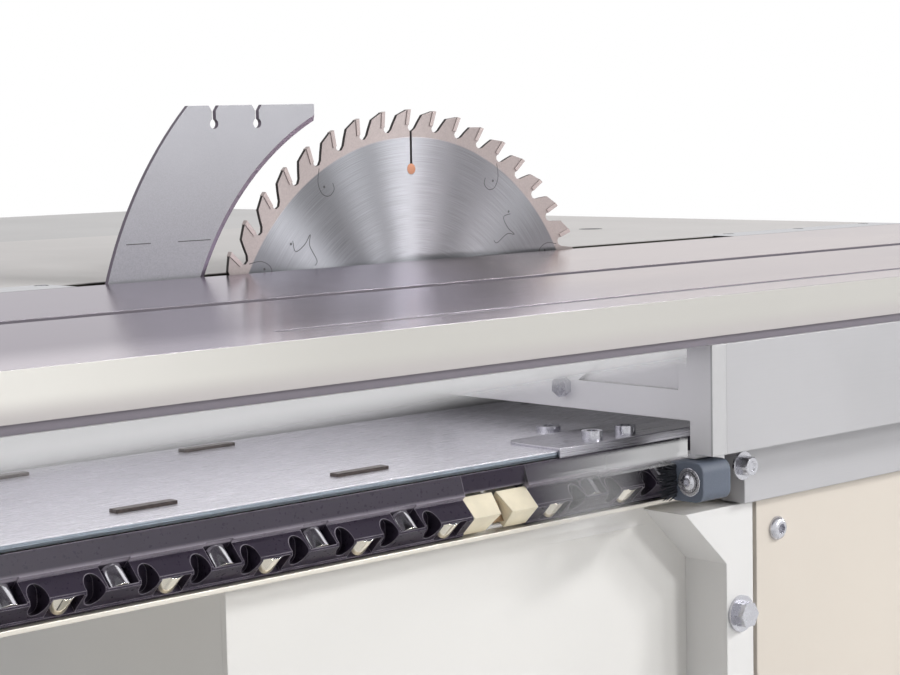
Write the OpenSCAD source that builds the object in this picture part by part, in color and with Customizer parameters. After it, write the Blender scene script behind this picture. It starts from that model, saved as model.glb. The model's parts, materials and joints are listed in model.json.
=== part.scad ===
// Sliding table saw: blade at the middle of its own frame, sliding table on crossed rollers beside it.
// All sizes are millimetres. Positions are first worked out from the blade centre line at table height
// and then moved so that the middle of the bounding box stands on the floor at the origin.

/* [Saw blade] */
// Outside diameter over the tooth tips
blade_diameter = 315; // [250:1:355]
// Number of teeth
tooth_count = 48; // [24:12:72]
// Thickness of the steel plate of the blade
blade_plate = 2.2; // [1.8:0.1:3]
// Width that the carbide tips cut
kerf = 3.2; // [2.6:0.1:4]
// Height of the blade above the table
blade_exposure = 90.3; // [70:0.1:95]
// Depth of the gullets between the teeth
gullet_depth = 13; // [8:0.5:16]
// Bore of the blade
blade_bore = 30; // [25:1:35]

/* [Riving knife] */
// Thickness of the knife
knife_plate = 2.8; // [2:0.1:3]
// Gap between the tooth tips and the knife
knife_gap = 11; // [6:0.5:12]
// Width of the knife measured from the blade centre outwards
knife_width = 60; // [45:1:70]
// Height of the knife top above the table
knife_top = 94; // [80:1:110]

/* [Sliding table] */
// Length of the sliding table
deck_length = 1550; // [1350:10:1800]
// Width of the sliding table
deck_width = 319.5; // [300:0.5:340]
// Thickness of the deck
deck_height = 22.6; // [18:0.2:26]
// Gap between the blade plane and the sliding table
blade_gap = 6; // [4:0.5:8]
// Thickness of the deck lip beside the blade
lip_height = 8; // [6:0.5:10]
// Distance of the clamping groove from the blade plane
groove_reach = 162; // [150:1:175]
// Mouth of the clamping groove
groove_mouth = 14; // [10:0.5:18]
// How far the table stands behind the blade centre
deck_rear = 850; // [750:10:950]

/* [Roller guide] */
// Distance of the outer row of rollers from the blade plane
outer_row = 285; // [280:0.5:290]
// Distance of the inner row of rollers from the blade plane
inner_row = 139; // [137:0.5:145]
// Depth of the roller centres below the table
row_depth = 89.5; // [87:0.5:92]
// Diameter of a roller
roller_diameter = 12.6; // [11:0.1:13]
// Spacing of the rollers along the cage
roller_pitch = 24.3; // [20:0.1:28]
// Thickness of the cover plate on the beam
cover_plate = 3; // [2:0.5:4]
// Length of the guide beam
beam_length = 1200; // [1100:10:1300]

/* [Body] */
// Height of the table above the floor
table_height = 880; // [850:5:900]
// Length of the cabinet along the cut
cabinet_length = 770; // [700:10:850]
// Thickness of the cabinet sheet
sheet = 3; // [2:0.5:5]
// Length of the fixed table along the cut
fixed_length = 850; // [750:10:950]
// Width of the cast fixed table
fixed_width = 446; // [400:2:500]
// Width of the table extension beside the fixed table
extension_width = 440; // [300:10:600]
// Thickness of the fixed table plate
fixed_plate = 14; // [10:1:18]
// Diameter of the dust outlet
outlet_diameter = 120; // [100:10:140]
// Diameter of the two hand wheels
wheel_diameter = 160; // [130:5:180]
// Diameter of the motor
motor_diameter = 150; // [130:5:160]
// Length of the motor
motor_length = 230; // [200:10:250]

/* [Hidden] */
$fn = 48;
// Room left between pieces that move past each other
slip = 0.3;
// Radial room of a shaft in its own bore
fit = 0.05;
// Overlap that makes a cut go right through
cut = 1;
frame_x = deck_length / 2 - deck_rear;
deck_front = deck_length - deck_rear;
deck_edge = blade_gap + deck_width;
fixed_edge = 14;
fixed_rear = -350;
fixed_front = fixed_rear + fixed_length;
fixed_right = fixed_edge + fixed_width;
table_right = fixed_right + extension_width;
frame_y = (table_right - deck_edge) / 2;
blade_radius = blade_diameter / 2;
arbor_depth = blade_radius - blade_exposure;
tooth_angle = 360 / tooth_count;
first_tip_angle = 0.38;
skirt_wall = 13.5;
skirt_bottom = 105;
wall_bottom = 74;
inner_wall = 18.5;
rail_gap = 3.5;
portal_depth = 58.5;
plate_top = 68;
beam_bottom = 101;
beam_rear = -750;
beam_front = beam_rear + beam_length;
beam_outer = outer_row - 3.5;
beam_inner = inner_row + 3.5;
cabinet_rear = fixed_rear;
cabinet_front = cabinet_rear + cabinet_length;
cabinet_left = 272;
cabinet_right = 440;
base_height = 60;
cabinet_floor = table_height - base_height;
bridge_place = -105.4;
bridge_wall = 10;

// Shapes shared by several pieces: a box between two corners, strips along X or Y, and round bars
module box(a, b) translate(a) cube(b - a);
module strip(x0, x1, profile) translate([x0, 0, 0]) rotate([90, 0,
    90]) linear_extrude(x1 - x0) polygon(profile);
module wall(y0, y1, profile) translate([0, y1, 0]) rotate([90, 0,
    0]) linear_extrude(y1 - y0) polygon(profile);
module bar_x(x0, x1, y, z, r) translate([x0, y, z]) rotate([0, 90, 0]) cylinder(h = x1 - x0, r = r);
module bar_y(y0, y1, x, z, r) translate([x, y1, z]) rotate([90, 0, 0]) cylinder(h = y1 - y0, r = r);
module bar_z(z0, z1, x, y, r) translate([x, y, z0]) cylinder(h = z1 - z0, r = r);
module hex_x(x0, x1, y, z, r) translate([x0, y, z]) rotate([0, 90, 0]) cylinder(h = x1 - x0, r = r,
    $fn = 6);
module hex_y(y0, y1, x, z, r) translate([x, y1, z]) rotate([90, 0, 0]) cylinder(h = y1 - y0, r = r,
    $fn = 6);
module hex_z(z0, z1, x, y, r) translate([x, y, z0]) cylinder(h = z1 - z0, r = r, $fn = 6);
module here() translate([-frame_x, -frame_y, table_height]) children();

// Angle a is measured from straight down towards the sliding table, about the tilt axis
function swing(r, a) = [-r * sin(a), -r * cos(a)];
wedge_reach = 600;
module sector(r0, r1, a0, a1) intersection() {
    difference() {
        circle(r1, $fn = 96);
        circle(r0, $fn = 96);
    }
    polygon(concat([[0, 0]], [for (i = [0 : 4]) swing(wedge_reach, a0 + (a1 - a0) * i / 4)]));
}
module sector_x(x0, x1, r0, r1, a0, a1)
    translate([x0, 0, 0]) rotate([90, 0, 90]) linear_extrude(x1 - x0) sector(r0, r1, a0, a1);

// Base and sheet-metal cabinet
foot_height = 10;
foot_length = 130;
foot_width = 100;
foot_reach = 70;
anchor_hole = 14;
base_rail = 60;
flange_reach = 150;
panel_top = 105;
middle_top = 112;
table_rim = 60;
module base_frame() color([0.30, 0.30, 0.32]) here() {
    low = -table_height + foot_height;
    difference() {
        box([cabinet_rear, -cabinet_left, low], [cabinet_front, cabinet_right, -cabinet_floor]);
        box([cabinet_rear + base_rail, -cabinet_left + base_rail, low - cut],
            [cabinet_front - base_rail, cabinet_right - base_rail, -cabinet_floor - sheet]);
    }
    for (x = [cabinet_rear - foot_reach, cabinet_front + foot_reach - foot_length])
        for (y = [-cabinet_left, cabinet_right - foot_width]) difference() {
            box([x, y, -table_height], [x + foot_length, y + foot_width, low]);
            bar_z(-table_height - cut, low + cut,
                x < 0 ? cabinet_rear - foot_reach / 2 : cabinet_front + foot_reach / 2,
                y + foot_width / 2, anchor_hole / 2);
        }
}
module left_panel() color([0.86, 0.85, 0.82]) here() {
    box([cabinet_rear, -cabinet_left, -cabinet_floor], [cabinet_front, -cabinet_left + sheet, -panel_top]);
    box([cabinet_rear, -cabinet_left, -panel_top], [cabinet_front, -flange_reach, -beam_bottom]);
}
module right_panel() color([0.86, 0.85, 0.82]) here()
    box([cabinet_rear, cabinet_right - sheet, -cabinet_floor], [cabinet_front, cabinet_right, -table_rim]);
panel_step = 40;
function end_outline() = [[-cabinet_left + sheet, -cabinet_floor], [cabinet_right - sheet, -cabinet_floor],
    [cabinet_right - sheet, -table_rim], [panel_step, -table_rim], [panel_step, -middle_top],
    [-flange_reach, -middle_top], [-flange_reach, -panel_top], [-cabinet_left + sheet, -panel_top]];
wheel_y = 62;
wheel_z = -300;
wheel_arc = norm([wheel_y, wheel_z]);
arc_room = 15;
wheel_start = -atan2(wheel_y, -wheel_z);
wheel_shaft = 20;
slot_angles = [-5, 50];
second_wheel_y = 250;
module front_panel() color([0.86, 0.85, 0.82]) here() difference() {
    strip(cabinet_front - sheet, cabinet_front, end_outline());
    sector_x(cabinet_front - sheet - cut, cabinet_front + cut, wheel_arc - arc_room,
        wheel_arc + arc_room, wheel_start + slot_angles[0], wheel_start + slot_angles[1]);
    bar_x(cabinet_front - sheet - cut, cabinet_front + cut, second_wheel_y, wheel_z, wheel_shaft / 2 + fit);
}
door_low = -740;
door_high = -200;
door_left = 20;
door_right = 380;
door_cover = 10;
outlet_y = -130;
outlet_z = -640;
module rear_panel() color([0.86, 0.85, 0.82]) here() difference() {
    strip(cabinet_rear, cabinet_rear + sheet, end_outline());
    box([cabinet_rear - cut, door_left, door_low], [cabinet_rear + sheet + cut, door_right, door_high]);
    bar_x(cabinet_rear - cut, cabinet_rear + sheet + cut, outlet_y, outlet_z, outlet_diameter / 2 - sheet);
}
hinge_out = 9;
hinge_side = 18;
hinge_bore = 4;
knuckle = 8;
knuckle_length = 40;
hinge_heights = [-300, -640];
hinge_leaf = 4;
hinge_x = cabinet_rear - hinge_out;
hinge_y = door_right + hinge_side;
knob_y = 48;
knob_z = -470;
knob_shaft = 6;
module access_door() color([0.83, 0.82, 0.79]) here() {
    difference() {
        union() {
            box([cabinet_rear - slip - sheet, door_left - door_cover, door_low - door_cover],
                [cabinet_rear - slip, door_right + door_cover - slip, door_high + door_cover]);
            for (z = hinge_heights) {
                bar_z(z, z + knuckle_length, hinge_x, hinge_y, knuckle);
                box([hinge_x - knuckle, hinge_y - hinge_side, z],
                    [hinge_x - knuckle + hinge_leaf, hinge_y, z + knuckle_length]);
                box([hinge_x - knuckle, hinge_y - hinge_side, z],
                    [cabinet_rear - slip, hinge_y - hinge_side + hinge_leaf, z + knuckle_length]);
            }
        }
        for (z = hinge_heights) bar_z(z - cut, z + knuckle_length + cut, hinge_x, hinge_y,
            hinge_bore + fit);
        bar_x(cabinet_rear - hinge_side, cabinet_rear + sheet, knob_y, knob_z, knob_shaft + fit);
    }
}
module door_hinges() color([0.45, 0.45, 0.47]) here() for (z = hinge_heights) {
    bar_z(z - knuckle_length / 2, z + knuckle_length + knuckle_length / 2, hinge_x, hinge_y, hinge_bore);
    for (base = [z - knuckle_length / 2 - slip, z + knuckle_length + slip]) difference() {
        union() {
            bar_z(base, base + knuckle_length / 2, hinge_x, hinge_y, knuckle);
            box([hinge_x, hinge_y, base], [cabinet_rear, hinge_y + knuckle, base + knuckle_length / 2]);
        }
        bar_z(base - cut, base + knuckle_length, hinge_x, hinge_y, hinge_bore);
    }
}
knob_radius = 18;
knob_depth = 24;
cam_length = 40;
cam_half = 6;
cam_wall = 5;
module door_knob() color([0.10, 0.10, 0.11]) here() {
    front = cabinet_rear - slip * 2 - sheet;
    bar_x(front - knob_depth, front, knob_y, knob_z, knob_radius);
    bar_x(front - knob_depth, cabinet_rear + sheet + slip + cam_wall, knob_y, knob_z, knob_shaft);
    box([cabinet_rear + sheet + slip, knob_y - cam_half, knob_z - cam_half],
        [cabinet_rear + sheet + slip + cam_wall, knob_y + cam_half, knob_z + cam_length]);
}
outlet_length = 70;
module dust_outlet() color([0.16, 0.16, 0.17]) here() difference() {
    union() {
        bar_x(cabinet_rear - outlet_length, cabinet_rear, outlet_y, outlet_z, outlet_diameter / 2);
        bar_x(cabinet_rear - sheet, cabinet_rear, outlet_y, outlet_z, outlet_diameter / 2 + knob_radius);
    }
    bar_x(cabinet_rear - outlet_length - cut, cabinet_rear + cut, outlet_y, outlet_z,
        outlet_diameter / 2 - sheet);
}

// Fixed table, its insert, its extension and the rail for a rip fence
rim_wall = 14;
rib_place = 320;
slot_front = 298;
slot_rear = -240;
insert_height = 8;
insert_gap = 1;
insert_seat = 12;
extension_rim = 40;
module fixed_table() color([0.72, 0.72, 0.74]) here() difference() {
    union() {
        box([fixed_rear, fixed_edge, -fixed_plate], [fixed_front, fixed_right, 0]);
        for (x = [fixed_rear, rib_place, cabinet_front - rim_wall, fixed_front - rim_wall])
            box([x, fixed_edge + insert_seat, -table_rim], [x + rim_wall, fixed_right, -fixed_plate]);
        for (y = [cabinet_right - rim_wall, fixed_right - rim_wall])
            box([fixed_rear, y, -table_rim], [fixed_front, y + rim_wall, -fixed_plate]);
    }
    for (x = [[fixed_rear - cut, slot_rear], [slot_front, fixed_front + cut]])
        box([x[0], fixed_edge - cut, -insert_height], [x[1], fixed_edge + insert_seat, cut]);
}
screw_pitch = 80;
screw_head = 4;
module table_insert() color([0.55, 0.56, 0.58]) here()
    for (x = [[fixed_rear, slot_rear, fixed_rear + insert_seat * 2], [slot_front, fixed_front,
        slot_front + insert_seat * 2]])
        difference() {
            box([x[0], -blade_gap + insert_gap, -insert_height], [x[1], fixed_edge + insert_seat, 0]);
            for (s = [0 : floor((x[1] - x[2]) / screw_pitch)])
                bar_z(-insert_gap, cut, x[2] + s * screw_pitch, fixed_edge + insert_seat / 2, screw_head);
        }
module table_extension() color([0.70, 0.70, 0.72]) here() {
    box([fixed_rear, fixed_right, -fixed_plate / 2], [fixed_front, table_right, 0]);
    for (x = [fixed_rear, (fixed_rear + fixed_front) / 2, fixed_front - rim_wall])
        box([x, fixed_right, -extension_rim], [x + rim_wall, table_right - rim_wall, -fixed_plate / 2]);
    box([fixed_rear, table_right - rim_wall, -extension_rim], [fixed_front, table_right, -fixed_plate / 2]);
}
rail_stand = 45;
rail_x = fixed_front + rail_stand;
rail_z = -45;
rail_radius = 20;
rail_start = 60;
bracket_width = 36;
bracket_shares = [0.12, 0.5, 0.88];
module fence_rail() color([0.78, 0.78, 0.80]) here()
    bar_y(rail_start, table_right, rail_x, rail_z, rail_radius);
module rail_brackets() color([0.30, 0.30, 0.32]) here()
    for (share = bracket_shares) difference() {
        y = rail_start + (table_right - rail_start) * share;
        box([fixed_front, y - bracket_width / 2, rail_z - rail_radius / 2],
            [rail_x, y + bracket_width / 2, rail_z + rail_radius / 2]);
        bar_y(y - bracket_width, y + bracket_width, rail_x, rail_z, rail_radius);
    }

// Guide beam with its cover, rails and clamp
rail_wide = 10;
rail_tall = 20;
vee_room = 0.2;
vee = roller_diameter / sqrt(2) + vee_room;
beam_lip = 6;
lip_wall = 2;
chamber_wall = 6;
function beam_top() = -plate_top - cover_plate;
module guide_beam() color([0.80, 0.80, 0.82]) here() difference() {
    strip(beam_rear, beam_front, [
        [-beam_outer - beam_lip, -beam_bottom], [-beam_inner, -beam_bottom], [-beam_inner, beam_top()],
        [-beam_outer, beam_top()], [-beam_outer, -beam_bottom + lip_wall],
        [-beam_outer - beam_lip, -beam_bottom + lip_wall]]);
    for (y = [[-beam_outer - cut / 2, -beam_outer + rail_wide], [-beam_inner - rail_wide,
        -beam_inner + cut / 2]])
        box([beam_rear - cut, y[0], -row_depth - rail_tall / 2 + cut],
            [beam_front + cut, y[1], -row_depth + rail_tall / 2]);
    for (y = [0 : 1]) {
        half = (beam_outer - beam_inner - rail_wide * 2 - chamber_wall * 3) / 2;
        start = -beam_outer + rail_wide + chamber_wall + y * (half + chamber_wall);
        box([beam_rear - cut, start, -beam_bottom + chamber_wall], [beam_front + cut, start + half,
            beam_top() - chamber_wall]);
    }
}
module cover_strip() color([0.80, 0.81, 0.84]) here()
    box([beam_rear, -beam_outer - beam_lip / 2, beam_top()], [beam_front, -beam_inner + lip_wall,
        -plate_top]);
felt_length = 29;
felt_width = 5;
felt_height = 1.5;
felt_places = [-604.5, -492.5, -380.5, -268.5, -44.5, 67.5, 179.5, 291.5];
felt_inset = 20;
module felt_wipers() color([0.28, 0.23, 0.20]) here() for (x = felt_places)
    for (y = [-beam_outer + felt_inset, -beam_inner - felt_inset / 2])
        box([x - felt_length / 2, y - felt_width / 2, -plate_top], [x + felt_length / 2,
            y + felt_width / 2, -plate_top + felt_height]);
function lower_rail(face, side, row) = [[face, -row_depth - rail_tall / 2 + cut],
    [face + side * rail_wide, -row_depth - rail_tall / 2 + cut],
    [face + side * rail_wide, -row_depth + rail_tall / 2], [face, -row_depth + rail_tall / 2],
    [face, -row_depth + vee - abs(face - row)], [row + side * vee, -row_depth], [face,
        -row_depth - vee + abs(face - row)]];
module outer_lower_rail() color([0.62, 0.62, 0.64]) here()
    strip(beam_rear, beam_front, lower_rail(-beam_outer, 1, -outer_row));
module inner_lower_rail() color([0.62, 0.62, 0.64]) here()
    strip(beam_rear, beam_front, lower_rail(-beam_inner, -1, -inner_row));
block_rear = -170;
block_front = -62;
block_width = 32;
block_height = 1.2;
block_corner = 8;
apron_reach = 4.5;
apron_wall = 1.2;
apron_depth = 71.2;
clamp_places = [-139.7, -117];
screw_inset = 4;
screw_shank = 2;
cap_radius = 5;
cap_height = 4.2;
socket_radius = 2.9;
plain_screw = [-128, 238];
plain_radius = 6;
plain_height = 3;
module clamp_block() color([0.58, 0.58, 0.62]) here() {
    translate([0, 0, -plate_top]) linear_extrude(block_height) difference() {
        union() {
            translate([block_rear + block_corner, -beam_outer - apron_reach])
                square([block_front - block_rear - block_corner, block_width + apron_reach]);
            translate([block_rear, -beam_outer - apron_reach])
                square([block_corner * 2, block_width + apron_reach - block_corner]);
            translate([block_rear + block_corner, -beam_outer + block_width - block_corner])
                circle(block_corner);
        }
        for (x = clamp_places) translate([x, -beam_outer + screw_inset]) circle(screw_shank + fit);
    }
    box([block_rear, -beam_outer - apron_reach, -apron_depth],
        [block_front, -beam_outer - apron_reach + apron_wall, -plate_top]);
}
module clamp_screws() color([0.40, 0.40, 0.43]) here() {
    for (x = clamp_places) difference() {
        seat = -plate_top + block_height;
        union() {
            bar_z(seat, seat + cap_height, x, -beam_outer + screw_inset, cap_radius);
            bar_z(-plate_top, seat, x, -beam_outer + screw_inset, screw_shank);
        }
        hex_z(seat + cap_height / 2, seat + cap_height + cut, x, -beam_outer + screw_inset, socket_radius);
    }
    difference() {
        bar_z(-plate_top, -plate_top + plain_height, plain_screw[0], -plain_screw[1], plain_radius);
        hex_z(-plate_top + plain_height / 2, -plate_top + plain_height + cut, plain_screw[0], -plain_screw[1],
            socket_radius);
    }
}
console_top = 106;
console_wide = -98;
console_narrow = -68;
console_right = -48;
console_knee = 134;
console_foot = 420;
console_wall = 26;
module beam_console() color([0.88, 0.88, 0.88]) here() wall(-cabinet_left - console_wall, -cabinet_left,
    [[console_wide, -console_top], [console_right, -console_top], [console_right, -console_foot],
     [console_narrow, -console_foot], [console_narrow, -console_knee]]);
bolt_radius = 6.5;
bolt_height = 5;
washer_radius = 9;
washer_height = 1.5;
console_bolt_depths = [160, 320];
module console_bolts() color([0.70, 0.70, 0.72]) here() for (z = console_bolt_depths) {
    face = -cabinet_left - console_wall;
    bar_y(face - washer_height, face, (console_narrow + console_right) / 2, -z, washer_radius);
    hex_y(face - washer_height - bolt_height, face - washer_height, (console_narrow + console_right) / 2,
        -z, bolt_radius);
}
seam = 3;
cover_front = 330;
cover_depth = 620;
module side_cover() color([0.85, 0.82, 0.76]) here()
    box([console_right + seam, -cabinet_left - console_wall, -cover_depth], [cover_front, -cabinet_left,
        -console_top]);

// Control box with its two buttons
box_left = 300;
box_right = 420;
box_low = -200;
box_high = -115;
box_depth = 40;
start_y = 330;
stop_y = 385;
button_z = -158;
start_radius = 11;
stop_radius = 17;
stem_radius = 7;
button_out = 8;
stem_length = 14;
button_travel = 4;
module control_box() color([0.22, 0.23, 0.25]) here() difference() {
    box([cabinet_front, box_left, box_low], [cabinet_front + box_depth, box_right, box_high]);
    for (y = [start_y, stop_y])
        bar_x(cabinet_front + box_depth - stem_length - button_travel * 2,
            cabinet_front + box_depth + cut, y, button_z, stem_radius + fit);
}
module button(y, r, tone) color(tone) here() {
    face = cabinet_front + box_depth;
    bar_x(face + button_travel + slip, face + button_travel + button_out, y, button_z, r);
    bar_x(face - stem_length, face + button_travel + button_out, y, button_z, stem_radius);
}
module start_button() button(start_y, start_radius, [0.10, 0.45, 0.18]);
module stop_button() button(stop_y, stop_radius, [0.70, 0.08, 0.07]);

// Sliding table: deck, skirts with the upper rails, bridges, buffer and end caps
cap_wall = 8;
lip_reach = 100;
lip_bevel = 1.5;
channel_wide = 24;
channel_deep = 14;
mouth_deep = 6;
side_groove = 3.9;
side_inset = 2;
line_reach = 293;
line_wide = 8;
line_deep = 0.6;
line_start = -333;
module table_deck() color([0.74, 0.73, 0.78]) here() difference() {
    strip(-deck_rear + cap_wall, deck_front - cap_wall, [
        [-deck_edge, 0], [-deck_edge, -deck_height + side_groove], [-deck_edge + side_inset,
            -deck_height + side_groove],
        [-deck_edge + side_inset, -deck_height], [-lip_reach, -deck_height],
            [-lip_reach + deck_height - lip_height, -lip_height],
        [-blade_gap - lip_height - lip_bevel, -lip_height], [-blade_gap, -lip_bevel], [-blade_gap, 0]]);
    box([-deck_rear, -groove_reach - groove_mouth / 2, -mouth_deep - cut / 2], [deck_front,
        -groove_reach + groove_mouth / 2, cut]);
    box([-deck_rear, -groove_reach - channel_wide / 2, -channel_deep], [deck_front,
        -groove_reach + channel_wide / 2, -mouth_deep]);
    box([line_start, -line_reach - line_wide / 2, -line_deep],
        [deck_front, -line_reach + line_wide / 2, cut]);
    bar_z(-line_deep, cut, line_start, -line_reach, line_wide / 2);
}
module table_end_caps() color([0.16, 0.16, 0.18]) here() for (x = [-deck_rear, deck_front - cap_wall])
    strip(x, x + cap_wall, [[-deck_edge, 0], [-deck_edge, -wall_bottom],
        [-deck_edge + skirt_wall, -wall_bottom], [-deck_edge + skirt_wall, -portal_depth],
        [-inner_row + rail_gap + inner_wall, -portal_depth],
        [-inner_row + rail_gap + inner_wall, -deck_height], [-lip_reach, -deck_height],
        [-lip_reach + deck_height - lip_height, -lip_height],
        [-blade_gap - lip_height - lip_bevel, -lip_height], [-blade_gap, -lip_bevel], [-blade_gap, 0]]);
foot_top = 66;
foot_reach_out = 303;
foot_start = -60;
skirt_end = -128;
function skirt_profile() = [[-deck_edge, -deck_height], [-deck_edge, -wall_bottom],
    [-foot_reach_out, -wall_bottom], [-foot_reach_out, -skirt_bottom], [-outer_row - rail_gap, -skirt_bottom],
    [-outer_row - rail_gap, -row_depth - vee + rail_gap], [-outer_row - vee, -row_depth],
    [-outer_row - rail_gap, -row_depth + vee - rail_gap], [-outer_row - rail_gap, -foot_top],
    [-deck_edge + skirt_wall, -foot_top], [-deck_edge + skirt_wall, -deck_height]];
module rear_skirt() color([0.85, 0.87, 0.90, 0.25]) here()
    strip(-deck_rear + cap_wall, skirt_end, skirt_profile());
module front_skirt() color([0.84, 0.84, 0.84]) here()
    difference() {
        strip(bridge_place + bridge_wall / 2, deck_front - cap_wall, skirt_profile());
        box([bridge_place, -deck_edge + skirt_wall, -skirt_bottom - cut],
            [foot_start, -outer_row + roller_length, -deck_height]);
    }
inner_bottom = 98;
module inner_skirt() color([0.80, 0.80, 0.82]) here() strip(-deck_rear + cap_wall, deck_front - cap_wall, [
    [-inner_row + rail_gap, -deck_height], [-inner_row + rail_gap, -row_depth + vee - rail_gap],
        [-inner_row + vee, -row_depth],
    [-inner_row + rail_gap, -row_depth - vee + rail_gap], [-inner_row + rail_gap, -inner_bottom],
    [-inner_row + rail_gap + inner_wall, -inner_bottom], [-inner_row + rail_gap + inner_wall,
        -deck_height]]);
rear_bridge_inset = 350;
middle_bridge_inset = 420;
front_bridge_inset = 60;
bridge_places = [-deck_rear + rear_bridge_inset, bridge_place,
    deck_front - middle_bridge_inset, deck_front - front_bridge_inset];
rib = 7;
bridge_web = 4;
rib_foot_shares = [0.42, 0.58];
rib_head_shares = [0.30, 0.70];
module carriage_bridges() color([0.86, 0.86, 0.87]) here() for (x = bridge_places) {
    near = -deck_edge + skirt_wall;
    far = -inner_row + rail_gap;
    span = far - near;
    half = bridge_wall / 2;
    top = -deck_height;
    low = -portal_depth;
    strip(x - half, x + half, [[near, low], [far, low], [far, low + rib * 2], [near, low + rib * 2]]);
    strip(x - half, x + half, [[near, top], [near, top - rib], [far, top - rib], [far, top]]);
    for (side = [0, 1]) {
        foot = near + span * rib_foot_shares[side];
        head = near + span * rib_head_shares[side];
        strip(x - half, x + half, [[head - rib / 2, top - rib], [head + rib / 2, top - rib],
            [foot + rib / 2, low + rib * 2], [foot - rib / 2, low + rib * 2]]);
    }
    for (y = [near, far - rib])
        strip(x - half, x + half, [[y, low + rib * 2], [y + rib, low + rib * 2], [y + rib, top - rib],
            [y, top - rib]]);
    strip(x - bridge_web / 2, x + bridge_web / 2, [[near + rib, low + rib * 2], [far - rib, low + rib * 2],
        [far - rib, top - rib], [near + rib, top - rib]]);
    if (x == bridge_place) {
        box([x - half, -deck_edge, -wall_bottom], [x + half, near, top]);
        box([x - half, -bracket_near, -wall_bottom - bracket_flange],
            [buffer_front + bracket_plate, -buffer_far, -wall_bottom]);
        box([buffer_front, -bracket_near, -buffer_low],
            [buffer_front + bracket_plate, -buffer_far, -wall_bottom]);
    }
}
bridge_bolt_shares = [0.45, 0.95];
bridge_bolt_rise_share = 1.5;
small_bolt_share = 0.8;
module bridge_bolts() color([0.72, 0.72, 0.74]) here() for (x = bridge_places)
    for (share = bridge_bolt_shares) {
    near = -deck_edge + skirt_wall;
    y = near + (-inner_row + rail_gap - near - rib * 2) * share + rib;
    hex_x(x - bridge_wall / 2 - bolt_height * small_bolt_share, x - bridge_wall / 2, y,
        -portal_depth + rib * bridge_bolt_rise_share,        bolt_radius * small_bolt_share);
}
buffer_rear = -117;
buffer_front = -97.4;
buffer_low = 95;
buffer_high = 76.4;
buffer_near = 325;
buffer_far = 304;
buffer_corner = 5;
buffer_screw_y = 317;
buffer_screw_z = 85.7;
buffer_hole = 5;
buffer_sink = 3;
bracket_flange = 2;
bracket_plate = 8;
bracket_near = 315;
module rounded(w, h, r) union() {
    translate([r, 0]) square([w - 2 * r, h]);
    translate([0, r]) square([w, h - 2 * r]);
    for (x = [r, w - r]) for (y = [r, h - r]) translate([x, y]) circle(r, $fn = 32);
}
module buffer_block() color([0.28, 0.31, 0.38]) here() difference() {
    translate([buffer_rear, -buffer_near, -buffer_low]) rotate([90, 0, 90])
        linear_extrude(buffer_front - buffer_rear) rounded(buffer_near - buffer_far,
            buffer_low - buffer_high, buffer_corner);
    bar_x(buffer_rear - cut, buffer_rear + buffer_sink, -buffer_screw_y, -buffer_screw_z, buffer_hole);
}
module buffer_screw() color([0.75, 0.75, 0.77]) here() difference() {
    bar_x(buffer_rear - cut, buffer_rear + buffer_sink, -buffer_screw_y, -buffer_screw_z,
        buffer_hole - slip);
    hex_x(buffer_rear - cut * 2, buffer_rear + cut, -buffer_screw_y, -buffer_screw_z, socket_radius);
}

// Roller cages: crossed rollers turned left and right in turn, ivory wipers between two cages
rear_cage = [-523, -231];
front_cage = [-192, 96];
rear_first = -242;
front_first = -177;
rear_count = 12;
front_count = 11;
cage_thick = 6;
cage_top = 71.5;
cage_bend = 80.5;
cage_low = 98.6;
cage_sheet = 2;
cage_face = 1;
cage_nose = 2.6;
nose_drop = 1.5;
sheet_lean = 2.8;
window_room = 0.5;
roller_length = 9.6;
function cage_row() = concat([for (k = [0 : rear_count - 1]) [rear_first - k * roller_pitch, k % 2]],
    [for (k = [0 : front_count - 1]) [front_first + k * roller_pitch, k % 2]]);
module at_roller(r, row, side) translate([r[0], -row, -row_depth])
    rotate([side * (r[1] == 0 ? roller_angle : -roller_angle), 0, 0]) children();
module rollers(row, side, room, length) for (r = cage_row())
    at_roller(r, row, side) cylinder(h = length, r = roller_diameter / 2 + room, center = true);
roller_angle = 45;
seat_gap = 0.5;
seat_reach = 12;
lip = 8.3;
lip_flat = 0.8;
pocket_radius = 4.1;
pocket_rise = 1.7;
pocket_floor = 1;
link_sheet = 1.6;
link_low = 80;
link_lap = 1;
function cage_profile() = let(inner = cage_thick / 2, head = cage_nose - sheet_lean) [
    [-cage_face, -cage_low + cut], [-cage_face + cut, -cage_low], [inner, -cage_low],
    [inner, -cage_bend - cage_sheet], [-cage_nose + cage_sheet, -cage_bend + cage_sheet / 2],
    [-head + cage_sheet, -cage_top], [-head, -cage_top], [-cage_nose, -cage_bend],
    [-cage_face, -cage_bend - nose_drop], [-cage_face, -row_depth + lip - cage_face],
    [-lip + lip_flat, -row_depth + lip_flat], [-lip + lip_flat, -row_depth - lip_flat],
    [-cage_face, -row_depth - lip + cage_face]];
function link_profile() = let(head = cage_nose - sheet_lean) [[-head, -cage_top], [-head, -link_low],
    [-head + link_sheet, -link_low], [-head + link_sheet, -cage_top]];
module seats(row, side) for (r = cage_row()) at_roller(r, row, side)
    translate([-roller_diameter / 2 - seat_gap, side > 0 ? -seat_reach : 0,
        -roller_length / 2 - window_room / 2])
        cube([roller_diameter + seat_gap * 2, seat_reach, roller_length + window_room]);
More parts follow.
